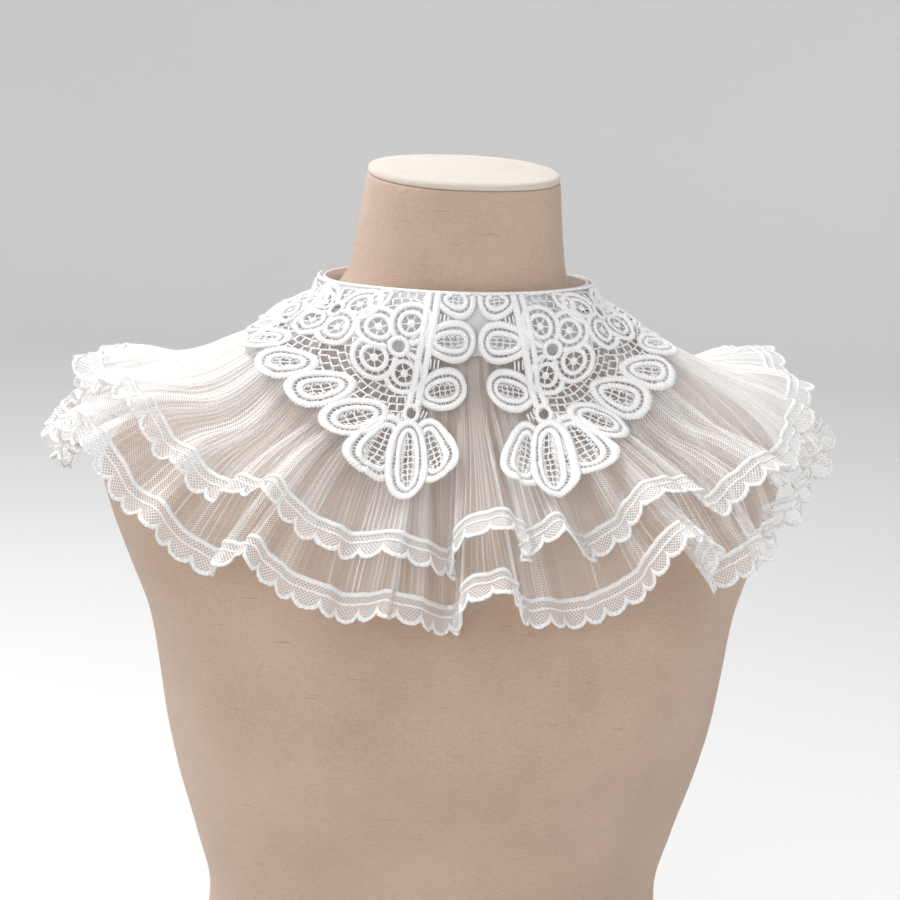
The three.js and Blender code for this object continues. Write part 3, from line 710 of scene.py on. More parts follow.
def pearl_material():
    shader = Shader("pearl", (0.9, 0.88, 0.83), 0.22, Coat_Weight=0.5)
    sheen = shader.tint(shader.noise(150), (0.86, 0.83, 0.78), (0.93, 0.92, 0.89))
    shader.give(Roughness=shader.clouds(220, 0.16, 0.3), Base_Color=sheen)
    return shader.material


MATERIALS = {
    "tulle": tulle_material(),
    "net": net_material(),
    "edging": thread_material("edging_thread", (0.93, 0.925, 0.92), 900),
    "guipure": thread_material("guipure_thread", (0.965, 0.955, 0.96), 1100),
    "satin": satin_material(),
    "linen": linen_material("linen", (0.42, 0.29, 0.21), (0.56, 0.41, 0.31), 0.5),
    # The cap's linen is the form's own linen painted lighter and greyer: painted light, as if lit strongly
    # from above.
    "linen_cap": linen_material("linen_cap", (0.54, 0.48, 0.41), (0.64, 0.585, 0.52), 0.2),
    "pearl": pearl_material(),
}


def finish_piece(piece, material, slot, *nodes):
    """Gives a piece its material, and has it stand for its nodes on the one body. Its slot is not used."""
    piece.data.materials.append(MATERIALS[material])
    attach(piece, "root")
    if nodes:
        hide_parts(*nodes)
    return piece


# The dress form

FORM_AROUND = 144
FORM_ROWS = {"from": 10, "below_top": 3, "step": 6}
FORM_FOOT = (0, 1.2, 3, 5.5)
# The linen's top edge and the cap's edge: how far each ring is drawn in, and its height over the top
FORM_EDGE = ((0, -2), (0.3, -0.7), (1, 0))
CAP_EDGE = ((0, 0), (-0.3, 0.8), (-0.3, 2.2), (0.2, 3.2), (1.2, 3.9), (3, 4.3), (12, 4.8), (30, 5))


def form_ring(z, inset=0, lift=0):
    """A ring of the dress form at a height. The neck's top tilts down to the front."""
    section = form_section(z)
    angle = round_angles(FORM_AROUND)
    ring = polar(angle, oval_radius(section, angle, FORM_SQUARENESS) - inset, z + lift)
    tilt = math.tan(math.radians(NECK_TOP["tilt"])) * smooth((z - NECK_TOP["from"]) / NECK_TOP["over"])
    ring[:, 2] += ring[:, 1] * tilt
    ring[:, 1] -= section["lean"]
    return ring


def shrunk(ring, share):
    return ring.mean(0) + (ring - ring.mean(0)) * share


def loft(name, rings):
    """A closed skin through rings from the bottom up, drawn in towards the middle at each end."""
    bottom = [shrunk(rings[0], share) for share in (0.02, 0.5)]
    top = [shrunk(rings[-1], share) for share in (0.5, 0.02)]
    rows = np.array([*bottom, *rings, *top])[::-1]
    piece = make_mesh(name, rows, grid_faces(len(rows), FORM_AROUND, closed=True))
    close_ends(piece)
    return piece


def close_ends(piece):
    """Fills each open ring of a piece's mesh with one face."""
    work = bmesh.new()
    work.from_mesh(piece.data)
    rims = [edge for edge in work.edges if edge.is_boundary]
    bmesh.ops.holes_fill(work, edges=rims, sides=0)
    bmesh.ops.recalc_face_normals(work, faces=work.faces)
    work.to_mesh(piece.data)
    work.free()


def dress_form():
    """The linen-covered torso and neck, from its flat base to its turned top edge."""
    rows = np.arange(FORM_ROWS["from"], FORM_TOP_Z - FORM_ROWS["below_top"], FORM_ROWS["step"])
    rings = [form_ring(z) for z in (*FORM_FOOT, *rows)]
    rings += [form_ring(FORM_TOP_Z + lift, inset) for inset, lift in FORM_EDGE]
    finish_piece(loft("form_linen", rings), "linen", "linen", "form_torso")


def neck_cap():
    """The neck's cap: a padded lid whose rounded edge turns down to the linen. Its linen is the form's,
    painted lighter and greyer as if in strong light from above.
    """
    rings = [form_ring(FORM_TOP_Z, CAP_INSET + inset, SEAM_GAP + lift) for inset, lift in CAP_EDGE]
    finish_piece(loft("form_cap_linen", rings), "linen_cap", "linen_cap", "form_neck_cap")


# The neck band, yoke and button

BAND_COLUMNS = 220
BAND_ROWS = 6
BAND_TUCK = 1.5          # the band's foot goes this far down behind the yoke
BAND_FACE_LEAN = 6       # the band's face leans up by this for its distance from the axis
YOKE_COLUMNS = 720
YOKE_ROWS = 12
YOKE_GATHER = {"count": 150, "depth": 0.28, "drift": 2, "drifts": 17}
# A cloth's cut edge, rounded over: distance from the edge in walls, and share of the wall's thickness
ROUND_EDGE = ((0, 0.5), (0.2, 0.86), (0.5, 1))


def thick_rows(length, rows):
    """Distances down and half-thickness shares of a cloth whose two cut edges are rounded over."""
    turned = [(distance * WALL, share) for distance, share in ROUND_EDGE]
    inner = [(s, 1) for s in np.linspace(WALL, length - WALL, rows)]
    ended = [(length - distance, share) for distance, share in turned[::-1]]
    return np.array([*turned, *inner, *ended])


def thick_cloth(name, surface_at, angles, rows, offset=0):
    """A closed cloth wall: down its outer face, back up its inner face, and shut at both ends."""
    down, share = rows[:, :1], rows[:, 1:]
    half = WALL / 2 * share
    outer = surface_at(angles, down, half + offset)
    inner = surface_at(angles, down, -half + offset)[::-1]
    sheet = np.concatenate([outer, inner])
    count, columns = sheet.shape[:2]
    first = np.arange(columns)
    last = (count - 1) * columns + first
    seam = np.stack([last[:-1], first[:-1], first[1:], last[1:]], -1)
    piece = make_mesh(name, sheet, np.concatenate([grid_faces(count, columns), seam]))
    close_ends(piece)
    return piece


def band_at(angle, s, out):
    base = band_surface(angle, BAND_HEIGHT - s)
    direction = unit(base * (1, 1, 0) + (0, 0, BAND_FACE_LEAN))
    return base + direction * np.broadcast_to(out, base.shape[:-1])[..., None]


def neck_band():
    overlap = math.degrees(BAND_OVERLAP / NECKLINE["back"])
    angles = spread(BAND_COLUMNS, BACK_EDGE - 180, 180 + overlap)
    band = thick_cloth("neck_band_satin", band_at, angles, thick_rows(BAND_HEIGHT + BAND_TUCK, BAND_ROWS))
    finish_piece(band, "satin", "satin", "neck_band")


def yoke():
    """A plain strip, slightly gathered where the tiers pull on it."""
    angles = spread(YOKE_COLUMNS)
    rows = thick_rows(YOKE_DEPTH, YOKE_ROWS)
    drift = YOKE_GATHER["drift"] * wave(angles, YOKE_GATHER["drifts"])
    gathers = wave(angles, YOKE_GATHER["count"], drift)
    offset = YOKE_GATHER["depth"] * smooth(rows[:, :1] / YOKE_DEPTH) * gathers
    piece = thick_cloth("yoke_cloth", lower_cloth.at, angles, rows, offset)
    finish_piece(piece, "satin", "satin", "yoke")
    line_length(lower_cloth, YOKE_DEPTH / 2) * MM


def button_rings():
    """Each ring's distance from the button's middle and height, from its back round the rim to its face."""
    radius, top, edge = BUTTON["radius"], BUTTON["thickness"], BUTTON["edge"]
    inside, face = radius - BUTTON["rim"], top - BUTTON["sunk"]
    outside = [(BUTTON["tip"], 0), (radius * BUTTON["back"], 0), (radius, edge), (radius, top - edge),
               (radius - BUTTON["bevel"], top), (inside, top), (inside - BUTTON["dip"], face)]
    return np.array(outside + [(reach, face) for reach in np.arange(BUTTON["inner"], 0, -BUTTON["step"])])


def button():
    """A small round button with a raised rim and sunk holes for its thread."""
    low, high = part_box("band_button")
    middle = np.array((low + high) / 2 / MM)
    outward = unit(polar(math.degrees(math.atan2(middle[0], -middle[1])), 1.0, BUTTON["tilt"]))
    across = unit(np.cross((0, 0, 1), outward))
    up = np.cross(outward, across)
    columns = BUTTON["columns"]
    rings = button_rings()
    place = rings[:, :1, None] * round_points(round_angles(columns), 1)
    holes = round_points(360 * (np.arange(BUTTON["holes"]) + 0.5) / BUTTON["holes"], BUTTON["hole_reach"])
    nearest = np.linalg.norm(place[:, :, None] - holes, axis=-1).min(-1)
    sunk = BUTTON["hole_depth"] * smooth((BUTTON["hole"] - nearest) / BUTTON["hole_edge"])
    lift = rings[:, 1:] - sunk - BUTTON["thickness"] / 2
    points = middle + place[..., :1] * across + place[..., 1:] * up + lift[..., None] * outward
    piece = make_mesh("button_disc", points[::-1], grid_faces(len(rings), columns, closed=True))
    close_ends(piece)
    finish_piece(piece, "pearl", "pearl", "band_button")


# The tulle tiers

TIER_ROWS = 34
TULLE_TUCK = 0.8         # the tulle ends this far under the edging's top
# Sunray pleats are cut as a ring's sector: its area over its outer edge times its depth
# Each pleat's depth varies, grows down the tier and wanders. Few are sharp, and shallow ones are fainter
PLEAT = {"pitch": 3.9, "least": 0.45, "top": 0.45, "growth": 0.65, "wander": 0.25, "run": 17, "scatter": 9,
         "scatter_rate": 1.3, "rarity": 5, "faintest": 0.75}
PLEAT_SHAPE = (-1, 0, 1, 0)
# Pleats draw together into bundles on the folds' crests and flanks, and here and there between them
BUNDLE = {"crest_width": 2.6, "flank_width": 1.6, "between": 22, "between_width": 1.3, "weakest": 0.5,
          "least": 0.27}
# How bright the pleats' ridges are: at the top, how much they fade by the hem, and in a bundle's valleys
LINES = {"top": 1.15, "fade": 0.35, "valley": 0.35}
VEIL = {"least": 0.85, "bundle": 0.75}
# Small flutes of the hem: how many go round, the share of each, and where it starts
FLUTES = ((47, 0.6, 0.4), (31, 0.35, 1.9), (79, 0.25, 2.1))
# Their depths, where the sides start and how far down they start; they swell out more than in, by the rise
FLUTE = {"front": 5, "sides": 10, "side": 70, "start": 70, "rise": 0.4, "drift": 1.4, "drifts": 5}
# Tight frills at the sides and the back, near the hem
FRILLS = {"count": 71, "depth": 3.7, "from": 50, "over": 18, "start": 95, "drift": 2.2}
# Broad soft gathers from the yoke down. The tulle is painted thicker on their crests and thinner in their
# valleys, as painted light and shade on the folds
GATHERS = {"count": 79, "depth": 1.2, "over": 70, "drift": 1.8, "drifts": 7, "even": 0.65, "uneven": 13,
           "painted_fold_shading": 0.38}
# Painted shade between the lace's halves: the tulle and its ridge lines are thinned at the front centre so
# that the darker form shows through
FRONT_PAINTED_SHADE = {"at": -1, "width": 8, "share": 0.5, "lines": 0.4}
# The gathers crowd together over the shoulders and behind, where the tulle looks thicker
CROWDING = {"share": 1.0, "from": 48, "over": 34, "lines": 0.4}
HEM_LENGTH = {tier: line_length(surface, TIERS[tier]["length"])
              for tier, surface in (("lower", lower_cloth), ("upper", upper_cloth))}


def gather(angle):
    """Where the broad gathers rise and sink round the neck, from -1 to 1."""
    drift = GATHERS["drift"] * wave(angle, GATHERS["drifts"], 1.1)
    strength = GATHERS["even"] + (1 - GATHERS["even"]) * wave(angle, GATHERS["uneven"])
    return strength * wave(angle, GATHERS["count"], drift)


def ripple(angle, s):
    """Gathers, flutes and frills on top of the folds, the same in both tiers so that they nest."""
    hem = TIERS["lower"]["length"]
    drift = FLUTE["drift"] * wave(angle, FLUTE["drifts"], 0.6)
    swing = sum(share * np.sin(np.radians(angle * count) + start + drift) for count, share, start in FLUTES)
    depth = FLUTE["front"] + (FLUTE["sides"] - FLUTE["front"]) * smooth(np.abs(angle) / FLUTE["side"])
    flutes = depth * smooth((s - FLUTE["start"]) / (hem - FLUTE["start"]))
    side = smooth((np.abs(angle) - FRILLS["from"]) / FRILLS["over"])
    near_hem = smooth((s - FRILLS["start"]) / (hem - FRILLS["start"]))
    frills = FRILLS["depth"] * side * near_hem * wave(angle, FRILLS["count"], FRILLS["drift"] * drift)
    gathers = GATHERS["depth"] * smooth((s - YOKE_DEPTH) / GATHERS["over"]) * gather(angle)
    return flutes * (FLUTE["rise"] + (1 - FLUTE["rise"]) * swing) + gathers + frills


def along_hem(surface, s):
    """Angles round the neck, and how far round the waving cloth each is at a distance down."""
    angles = spread(4 * SURFACE_LINES)
    points = surface.at(angles, s, ripple(angles, s))
    return angles, travelled(np.diff(points, axis=0))


def bundles(tier, angles):
    """How strongly the pleats draw together at each angle, from 0 to 1."""
    rows = runs[tier]
    found = [(row["at"], BUNDLE["crest_width"]) for row in rows[2::4]]
    found += [(row["at"], BUNDLE["flank_width"]) for row in rows[1::2]]
    found += [(at, BUNDLE["between_width"]) for at in random.uniform(-180, 180, BUNDLE["between"])]
    peaks = [random.uniform(BUNDLE["weakest"], 1) * bell(angles, at, width) for at, width in found]
    return np.max(peaks, axis=0)


def pleat_columns(tier):
    """A tier's columns, some to a pleat: angles, pleat offsets from -1 to 1, ridge strengths and bundles."""
    samples = len(PLEAT_SHAPE)
    pleats = round(HEM_LENGTH[tier] / PLEAT["pitch"])
    angles = spread(pleats * samples)
    depth = random.uniform(PLEAT["least"], 1.0, pleats + 1)
    sharp = random.uniform(0, 1, pleats + 1) ** PLEAT["rarity"]
    pleat, sample = np.divmod(np.arange(len(angles)), samples)
    offset = np.array(PLEAT_SHAPE)[sample] * depth[pleat]
    bundle = bundles(tier, angles)
    strength = BUNDLE["least"] + (1 - BUNDLE["least"]) * np.maximum(bundle, sharp[pleat])
    bright = strength * (PLEAT["faintest"] + (1 - PLEAT["faintest"]) * depth[pleat])
    ridge = np.where(sample == 2, bright, 0)
    ridge += np.where(sample == 0, LINES["valley"] * bundle, 0)
    return angles, offset, ridge, bundle


def tulle_tier(tier, surface, node, rests_on):
    """A sheet of fine pleats, with point values for its ridges' brightness and how thick it looks."""
    angles, pleat, ridge, bundle = pleat_columns(tier)
    top, end = TIERS[tier]["top"], TIERS[tier]["length"] - EDGING_WIDTH + TULLE_TUCK
    down = np.linspace(top, end, TIER_ROWS)[:, None]
    share = (down - top) / (end - top)
    depth = PLEAT_DEPTH * (PLEAT["top"] + PLEAT["growth"] * share)
    scatter = PLEAT["scatter"] * np.sin(angles * PLEAT["scatter_rate"])
    wander = 1 + PLEAT["wander"] * np.sin(down / PLEAT["run"] + scatter)
    points = surface.at(angles, down, depth * pleat * wander + ripple(angles, down))
    across = np.interp(angles, *along_hem(surface, end))
    pattern = pairs(across, down)
    # Painted shade at the front centre: thinner tulle and fainter ridge lines.
    front_shade = bell(angles, FRONT_PAINTED_SHADE["at"], FRONT_PAINTED_SHADE["width"])
    front_shade = 1 - FRONT_PAINTED_SHADE["share"] * front_shade
    crowding = smooth((np.abs(angles) - CROWDING["from"]) / CROWDING["over"])
    lines = ridge * (LINES["top"] - LINES["fade"] * share) * front_shade ** FRONT_PAINTED_SHADE["lines"]
    lines = lines * (1 + CROWDING["lines"] * crowding)
    # Painted light and shade on the broad gathers: the tulle is thicker on their crests and thinner in their
    # valleys, where the darker form shows through.
    veil = (VEIL["least"] + VEIL["bundle"] * bundle) * (1 + GATHERS["painted_fold_shading"] * gather(angles)) * front_shade
    veil = np.broadcast_to(veil * (1 + CROWDING["share"] * crowding), lines.shape)
    piece = make_mesh(f"{tier}_tier_tulle", points, grid_faces(*points.shape[:2]), uv=pattern,
                      values={"ridge": lines, "veil": veil})
    finish_piece(piece, "tulle", "tulle", node)
    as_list(rests_on)


# The scalloped edgings

SCALLOP_COLUMNS = 10
EDGING_ROWS = 7
EDGING_LIFT = 0.25       # the cords and the borders lie this far out on the net
NET_INSET = 1.2          # the net ends this far behind the border's cut edge
CURL = {"depth": 0.5, "scallops": 2.5}
HEADER = {"half_width": 1.3, "half_height": 0.6, "out": EDGING_LIFT, "bead": 0.17, "down": 1.3, "step": 0.65}
THIN_CORD = {"half_width": 0.62, "half_height": 0.45, "out": EDGING_LIFT, "bead": 0.05, "down": 6.6,
             "step": 1.1}
# How much the cords' widths vary, and the reach and run of the two waves that they wobble in
CORD_FUZZ = 0.14
CORD_WOBBLE = ((0.15, 3.1), (0.12, 1.3))
SCALLOP_FULLNESS = 0.6
# The half-moon windows of net under the thin cord, and the thick border round them
WINDOW = {"top": 6.9, "depth": 7.7, "samples": 15, "jag": 0.32, "padding": 0.5}


def scallop_end(across):
    """The edging's cut edge below its top, at a place counted in scallops."""
    arch = np.abs(np.sin(np.pi * across)) ** SCALLOP_FULLNESS
    return EDGING_WIDTH - SCALLOP_DEPTH * (1 - arch)


def edging_cord(relief, cord, length):
    """A cord along the whole edging that wobbles and varies in width."""
    run = np.linspace(0, length, 2 * round(length / cord["step"] / 2))
    wobble = sum(reach * np.sin(run / length) for reach, length in CORD_WOBBLE)
    fuzz = random.uniform(1 - CORD_FUZZ, 1 + CORD_FUZZ, len(run))
    relief.lay(pairs(run, cord["down"] + wobble), cord, fuzz)


def scallop_border(relief, scallop, pitch):
    """One scallop's padded border, from its window to the cut edge, with ragged stitches."""
    u = (1 - np.cos(np.linspace(0, np.pi, WINDOW["samples"]))) / 2
    run = (scallop + u) * pitch
    jag = random.uniform(-WINDOW["jag"], WINDOW["jag"], (2, len(u)))
    arch = np.sqrt(np.maximum(0, 1 - (2 * u - 1) ** 2))
    window = WINDOW["top"] + WINDOW["depth"] * arch + jag[0]
    edge = scallop_end(u) + jag[1]
    relief.strip(pairs(run, window), pairs(run, edge), WINDOW["padding"], EDGING_LIFT)


def lace_edging(tier, surface, node, rests_on):
    """A net strip under a thick header cord, a thin cord, and a padded border with a half-moon a scallop."""
    top = TIERS[tier]["length"] - EDGING_WIDTH
    angles, run_at = along_hem(surface, top + EDGING_WIDTH / 2)
    length = run_at[-1]
    scallops = round(length / SCALLOP_PITCH)
    pitch = length / scallops

    def place(pattern):
        across, down, out = (pattern[..., axis] for axis in range(3))
        angle = np.interp(across, run_at, angles)
        s = top + down
        swing = np.sin(2 * np.pi * across / pitch / CURL["scallops"])
        curl = CURL["depth"] * smooth(down / EDGING_WIDTH) * swing
        return surface.at(angle, s, out + ripple(angle, s) + curl)

    across = np.linspace(0, length, scallops * SCALLOP_COLUMNS + 1)
    down = np.linspace(0, 1, EDGING_ROWS)[:, None] * (scallop_end(across / pitch) - NET_INSET)
    flat = np.stack(np.broadcast_arrays(across, down, 0.0), -1)
    net = make_mesh(f"{tier}_edging_net", place(flat), grid_faces(*down.shape), uv=flat[..., :2])
    finish_piece(net, "net", "edging", node)

    relief = Relief()
    for cord in (HEADER, THIN_CORD):
        edging_cord(relief, cord, length)
    for scallop in range(scallops):
        scallop_border(relief, scallop, pitch)
    cords = relief.laid(f"{tier}_edging_thread", place)
    finish_piece(cords, "edging", "edging")
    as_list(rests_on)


# The guipure lace collar

# How finely outlines and rings are followed, how near cords come to the band's top, and the fewest points of
# a stretch
EGG_POINTS = 72
RING_STEP = 0.8
TRIM = 0.5
SHORTEST_STRETCH = 5
# A bar's height for its width
BAR_HEIGHT = 0.85
# A leaf from its edge in: a padded border edged with picots, a ladder of short bars, a ring and a web. Each
# cord has its size, how far out its middle lies, and how strongly its stitches bead it
BORDER = {"half_width": 1.65, "half_height": 0.7, "out": 0.7, "bead": 0.18}
PICOTS = {"half_width": 0.65, "half_height": 0.45, "out": 0.6, "bead": 0.6, "inset": 0.25}
LADDER = {"half_width": 0.45, "out": 0.4, "pitch": 1.95, "closer": 1.15}
RING = {"half_width": 1.35, "half_height": 0.65, "out": 0.75, "bead": 0.17, "inset": 6.1}
WEB = {"half_width": 0.58, "out": 0.45, "pitch": 1.95, "least": 6, "stray": 0.5, "wander": 0.4,
       "overrun": 0.5, "overlap": 0.4, "thinner": 0.8}
LEAST_LEAF_WIDTH = 21
# A flower's petals: an outer arc, short bars, and a wheel with its spokes round a knot
ARC = {"half_width": 1.5, "half_height": 0.8, "out": 0.8, "bead": 0.15}
PETAL_BARS = {"half_width": 0.5, "out": 0.45, "count": 15}
WHEEL = {"half_width": 1.2, "half_height": 0.7, "out": 0.75, "bead": 0.13, "size": 12.6, "flatness": 0.96}
KNOT = {"half_width": 1.155, "half_height": 0.6, "out": 0.55, "bead": 0.13, "size": 2.1, "stretch": 1.1,
        "points": 10}
SPOKES = {"half_width": 0.55, "out": 0.45, "count": 6}
PETAL_BLUNTNESS = 0.1
# Its eye, the sizes at which petals and the ground stop at it, and rays towards its missing petal
EYE = {"half_width": 1.25, "half_height": 0.85, "out": 1.0, "bead": 0.13, "size": 6.5, "grown": 2.4,
       "clear": 10.5, "cover": 11, "points": 40}
RAYS = {"half_width": 0.75, "out": 0.6, "angles": (-40, -20, 0, 20, 40), "from": 4.6, "to": 13.5}
# The spine: two thick cords side by side from the band's top to a hole above the three long leaves
SPINE = table("at down", (
    (20.5, 1.6), (20.4, 10), (20.5, 20), (21.3, 32), (22.4, 44), (23.4, 56), (23.7, 65.5),
))
SPINE_CORDS = {"half_width": 1.95, "half_height": 0.9, "out": 0.85, "bead": 0.14, "apart": 2.6, "step": 0.65,
               "points": 60}
RUNGS = {"half_width": 0.45, "out": 0.7, "pitch": 1.9, "reach": 1.2}
HOLE = {"at": 23.8, "down": 69.5, "turn": 0, "width": 5.4, "length": 6.4}
HOLE_RING = {"half_width": 1.15, "half_height": 0.8, "out": 0.95, "bead": 0.13, "points": 40}
# Rows of short bars between leaves: a row's middle, its bars' turn and length, their count and pitch
LADDERS = table("at down turn span count pitch", (
    (15.5, 16.2, 86, 4.4, 4, 2.2),
    (17.4, 41, 86, 5.5, 3, 2.2),
    (20.2, 69.5, 72, 4.6, 3, 2.2),
    (27.5, 73.5, 100, 5, 3, 2.2),
))
JOINING_BARS = {"half_width": 0.75, "out": 0.5}
# Small ovals with a thick knot, between two flowers
BUDS = table("at down turn length width", ((42.5, 8.5, 65, 15, 11), (73, 9, 110, 15, 11)))
BUD_RING = {"half_width": 1.15, "half_height": 0.75, "out": 0.7, "bead": 0.13}
BUD_KNOT = {"half_width": 1.7, "half_height": 0.8, "out": 0.7, "bead": 0.12, "reach": 0.2, "points": 8}
BUD_SPOKES = {"half_width": 0.45, "out": 0.45, "count": 8, "length": 0.4, "width": 2}
# The net between them all: arcs round each flower and bars between the arcs
GROUND = {"half_width": 0.68, "out": 0.45, "first": 10, "arc_step": 4.4, "bar_step": 4.2, "arcs": 10}
UNDERLAP = {"leaf": 1.2, "bud": 1, "spine": 2}
TOP_CORD = {"half_width": 0.95, "half_height": 0.7, "out": 0.6, "bead": 0.12, "down": 1.0, "from": 2.5,
            "to": 108, "step": 0.7, "points": 160}


def egg(length, width, count=EGG_POINTS, bluntness=BLUNTNESS):
    """An egg-shaped outline round the origin, blunt end along +X. A long one has fuller ends."""
    turn = 2 * np.pi * np.arange(count) / count
    fullness = FULL_ENDS["share"] if length > FULL_ENDS["from"] * width else 0
    across = width / 2 * np.sin(turn) * (1 + bluntness * np.cos(turn) + fullness * np.cos(turn) ** 2)
    return pairs(length / 2 * np.cos(turn), across)


def turned(points, degrees):
    c, s = math.cos(math.radians(degrees)), math.sin(math.radians(degrees))
    return np.asarray(points) @ np.array([[c, s], [-s, c]])


def flat_place(at, down, offset=(0.0, 0.0)):
    """A place in the lace's flat plane, where a degree round is as long as at the neck radius."""
    offset = np.asarray(offset, float)
    local = LACE["neck_radius"] + LACE["flare"] * (down + offset[..., 1])
    x = np.radians(at) * LACE["neck_radius"] + offset[..., 0] * LACE["neck_radius"] / local
    return pairs(x, down + offset[..., 1])


def at_motif(motif, points):
    """Points of a motif's own outline, turned and moved to its place in the flat plane."""
    return flat_place(motif["at"], motif["down"], turned(points, motif.get("turn", 0)))


def inside_egg(motif, points, margin=0.0):
    """Whether flat points lie inside a motif's outline, grown by a margin."""
    local = LACE["neck_radius"] + LACE["flare"] * points[:, 1]
    level = pairs(local / LACE["neck_radius"], 1)
    own = turned((points - flat_place(motif["at"], motif["down"])) * level, -motif.get("turn", 0))
    across, along = ((own[:, axis] - shift) / (motif[key] / 2 + margin)
                     for axis, shift, key in ((0, motif.get("reach", 0), "length"), (1, 0, "width")))
    return across ** 2 + along ** 2 < 1


def stretches(path, hidden):
    """The open stretches of a closed path that aren't hidden, without the shortest."""
    start = int(np.argmax(hidden & ~np.roll(hidden, -1))) + 1
    path, hidden = np.roll(path, -start, axis=0), np.roll(hidden, -start)
    ends = np.flatnonzero(np.diff(np.concatenate(([1], hidden, [1]))))
    pairs = zip(ends[::2], ends[1::2])
    return [path[first:last] for first, last in pairs if last - first >= SHORTEST_STRETCH]


def ring(relief, path, cord, scale=1.0, lift=0.0, hidden=None):
    """A closed cord, or what is left of it below the band's top and outside what hides it."""
    path = relief.evened(path, RING_STEP, closed=True)
    gone = path[:, 1] < TRIM + cord["half_width"] * scale
    if hidden:
        gone |= hidden(path)
    whole = not gone.any()
    for part in [path] if whole else stretches(path, gone):
        relief.lay(part, cord, scale, lift, closed=whole)


def bars(relief, starts, ends, bar, scale=1.0, lift=0.0):
    """Short straight cords from each start to its end, where both lie below the band's top."""
    half_width = bar["half_width"] * scale
    for start, end in zip(starts, ends):
        if min(start[1], end[1]) > TRIM + half_width:
            relief.cord([start, end], half_width, half_width * BAR_HEIGHT, bar["out"] + lift, sides=4)


def web(relief, motif, length, width, lift):
    """Slanting threads that fork from a leaf's middle rib to its ring."""
    reach = length / 2
    count = max(WEB["least"], 2 * round(reach / WEB["pitch"]))
    places = np.linspace(-reach, reach, count + 1)
    edge = np.sqrt(np.maximum(0, 1 - (places / (reach + WEB["overrun"])) ** 2))
    edge = width / 2 * edge + WEB["overlap"]
    rib = random.uniform(-WEB["stray"], WEB["stray"], count + 1)
    rib = at_motif(motif, pairs(places, rib))
    even, odd = np.arange(0, count + 1, 2), np.arange(1, count, 2)
    for side in (-1, 1):
        shift = random.uniform(-WEB["wander"], WEB["wander"], count + 1)
        forks = at_motif(motif, pairs(places + shift, side * edge / 2))
        rims = at_motif(motif, pairs(places + shift * 2, side * edge))
        bars(relief, rib[even], forks[even], WEB, 1, lift)
        for toward in (-1, 1):
            bars(relief, forks[odd + toward], rims[odd], WEB, 1, lift)
        bars(relief, forks[odd], rims[odd - 1], WEB, WEB["thinner"], lift)
    bars(relief, rib[:-1], rib[1:], WEB, 1, lift)


def leaf(relief, motif):
    length, width, lift = motif["length"], motif["width"], motif["lift"]
    fit = min(1.0, width / LEAST_LEAF_WIDTH)
    half, inset = BORDER["half_width"] * fit, RING["inset"] * fit

    def outline(inset, count=EGG_POINTS):
        return at_motif(motif, egg(length - 2 * inset, width - 2 * inset, count))

    ring(relief, outline(half), BORDER, fit, lift)
    ring(relief, outline(PICOTS["inset"]), PICOTS, 1, lift)
    ring(relief, outline(inset), RING, fit, lift)
    round_ring = math.pi * (length + width - 4 * RING["inset"]) / 2
    rungs = round(round_ring / LADDER["pitch"] * LADDER["closer"])
    bars(relief, outline(2 * half, rungs), outline(inset, rungs), LADDER, fit, lift)
    inner = [size - 2 * inset - 2 * RING["half_width"] * fit for size in (length, width)]
    web(relief, motif, *inner, lift)


def petal(relief, place, before):
    """A petal: an outer arc that stops at the petal before it, short bars, and a wheel round a knot."""
    scale, length, width = place["scale"], place["length"], place["width"]
    half, wheel, knot = ARC["half_width"] * scale, WHEEL["size"] * scale, KNOT["size"] * scale
    eye = {**place, "reach": 0, "length": EYE["clear"] * scale, "width": EYE["clear"] * scale}

    def outline(length, width, count=EGG_POINTS, bluntness=PETAL_BLUNTNESS):
        return at_motif(place, egg(length, width, count, bluntness) + (place["reach"], 0))

    def hidden(path):
        inside = inside_egg(eye, path)
        return inside | inside_egg(before, path, -half) if before else inside

    ring(relief, outline(length - 2 * half, width - 2 * half), ARC, scale, hidden=hidden)
    ring(relief, outline(wheel, wheel * WHEEL["flatness"]), WHEEL, scale)
    sizes = ((length - 3 * half, width - 3 * half), (wheel, wheel))
    starts, ends = (outline(*size, PETAL_BARS["count"]) for size in sizes)
    bars(relief, starts, ends, PETAL_BARS)
    ring(relief, outline(knot * KNOT["stretch"], knot, KNOT["points"], BLUNTNESS), KNOT, scale)
    rims, middles = (outline(size, size, SPOKES["count"], 0) for size in (wheel, 1))
    bars(relief, rims, middles, SPOKES)


def flower_places(motif):
    """The places and sizes of a flower's petals."""
    sizes = {key: FLOWER[key] * motif["scale"] for key in ("reach", "length", "width")}
    turns_round = motif["turn"] + FLOWER["spacing"] * np.arange(FLOWER["petals"])
    return [{**motif, **sizes, "turn": turn} for turn in turns_round]


def flower(relief, motif):
    """Petals round an eye, with rays where a fifth would be."""
    places = flower_places(motif)
    for before, place in zip([None, *places], places):
        petal(relief, place, before)
    scale = motif["scale"]
    middle = {**motif, "turn": 0}
    eye = EYE["size"] * scale + EYE["grown"]
    ring(relief, at_motif(middle, egg(eye, eye, EYE["points"], 0)), EYE, scale)
    rays = motif["turn"] - FLOWER["spacing"] + np.array(RAYS["angles"])
    starts, ends = (at_motif(middle, round_points(rays, RAYS[key] * scale)) for key in ("from", "to"))
    bars(relief, starts, ends, RAYS)


def spine_line():
    marks = np.linspace(SPINE[0]["down"], SPINE[-1]["down"], SPINE_CORDS["points"])
    ats = read_table(SPINE, "down", "at", marks)
    return pairs(np.radians(ats) * LACE["neck_radius"], marks)


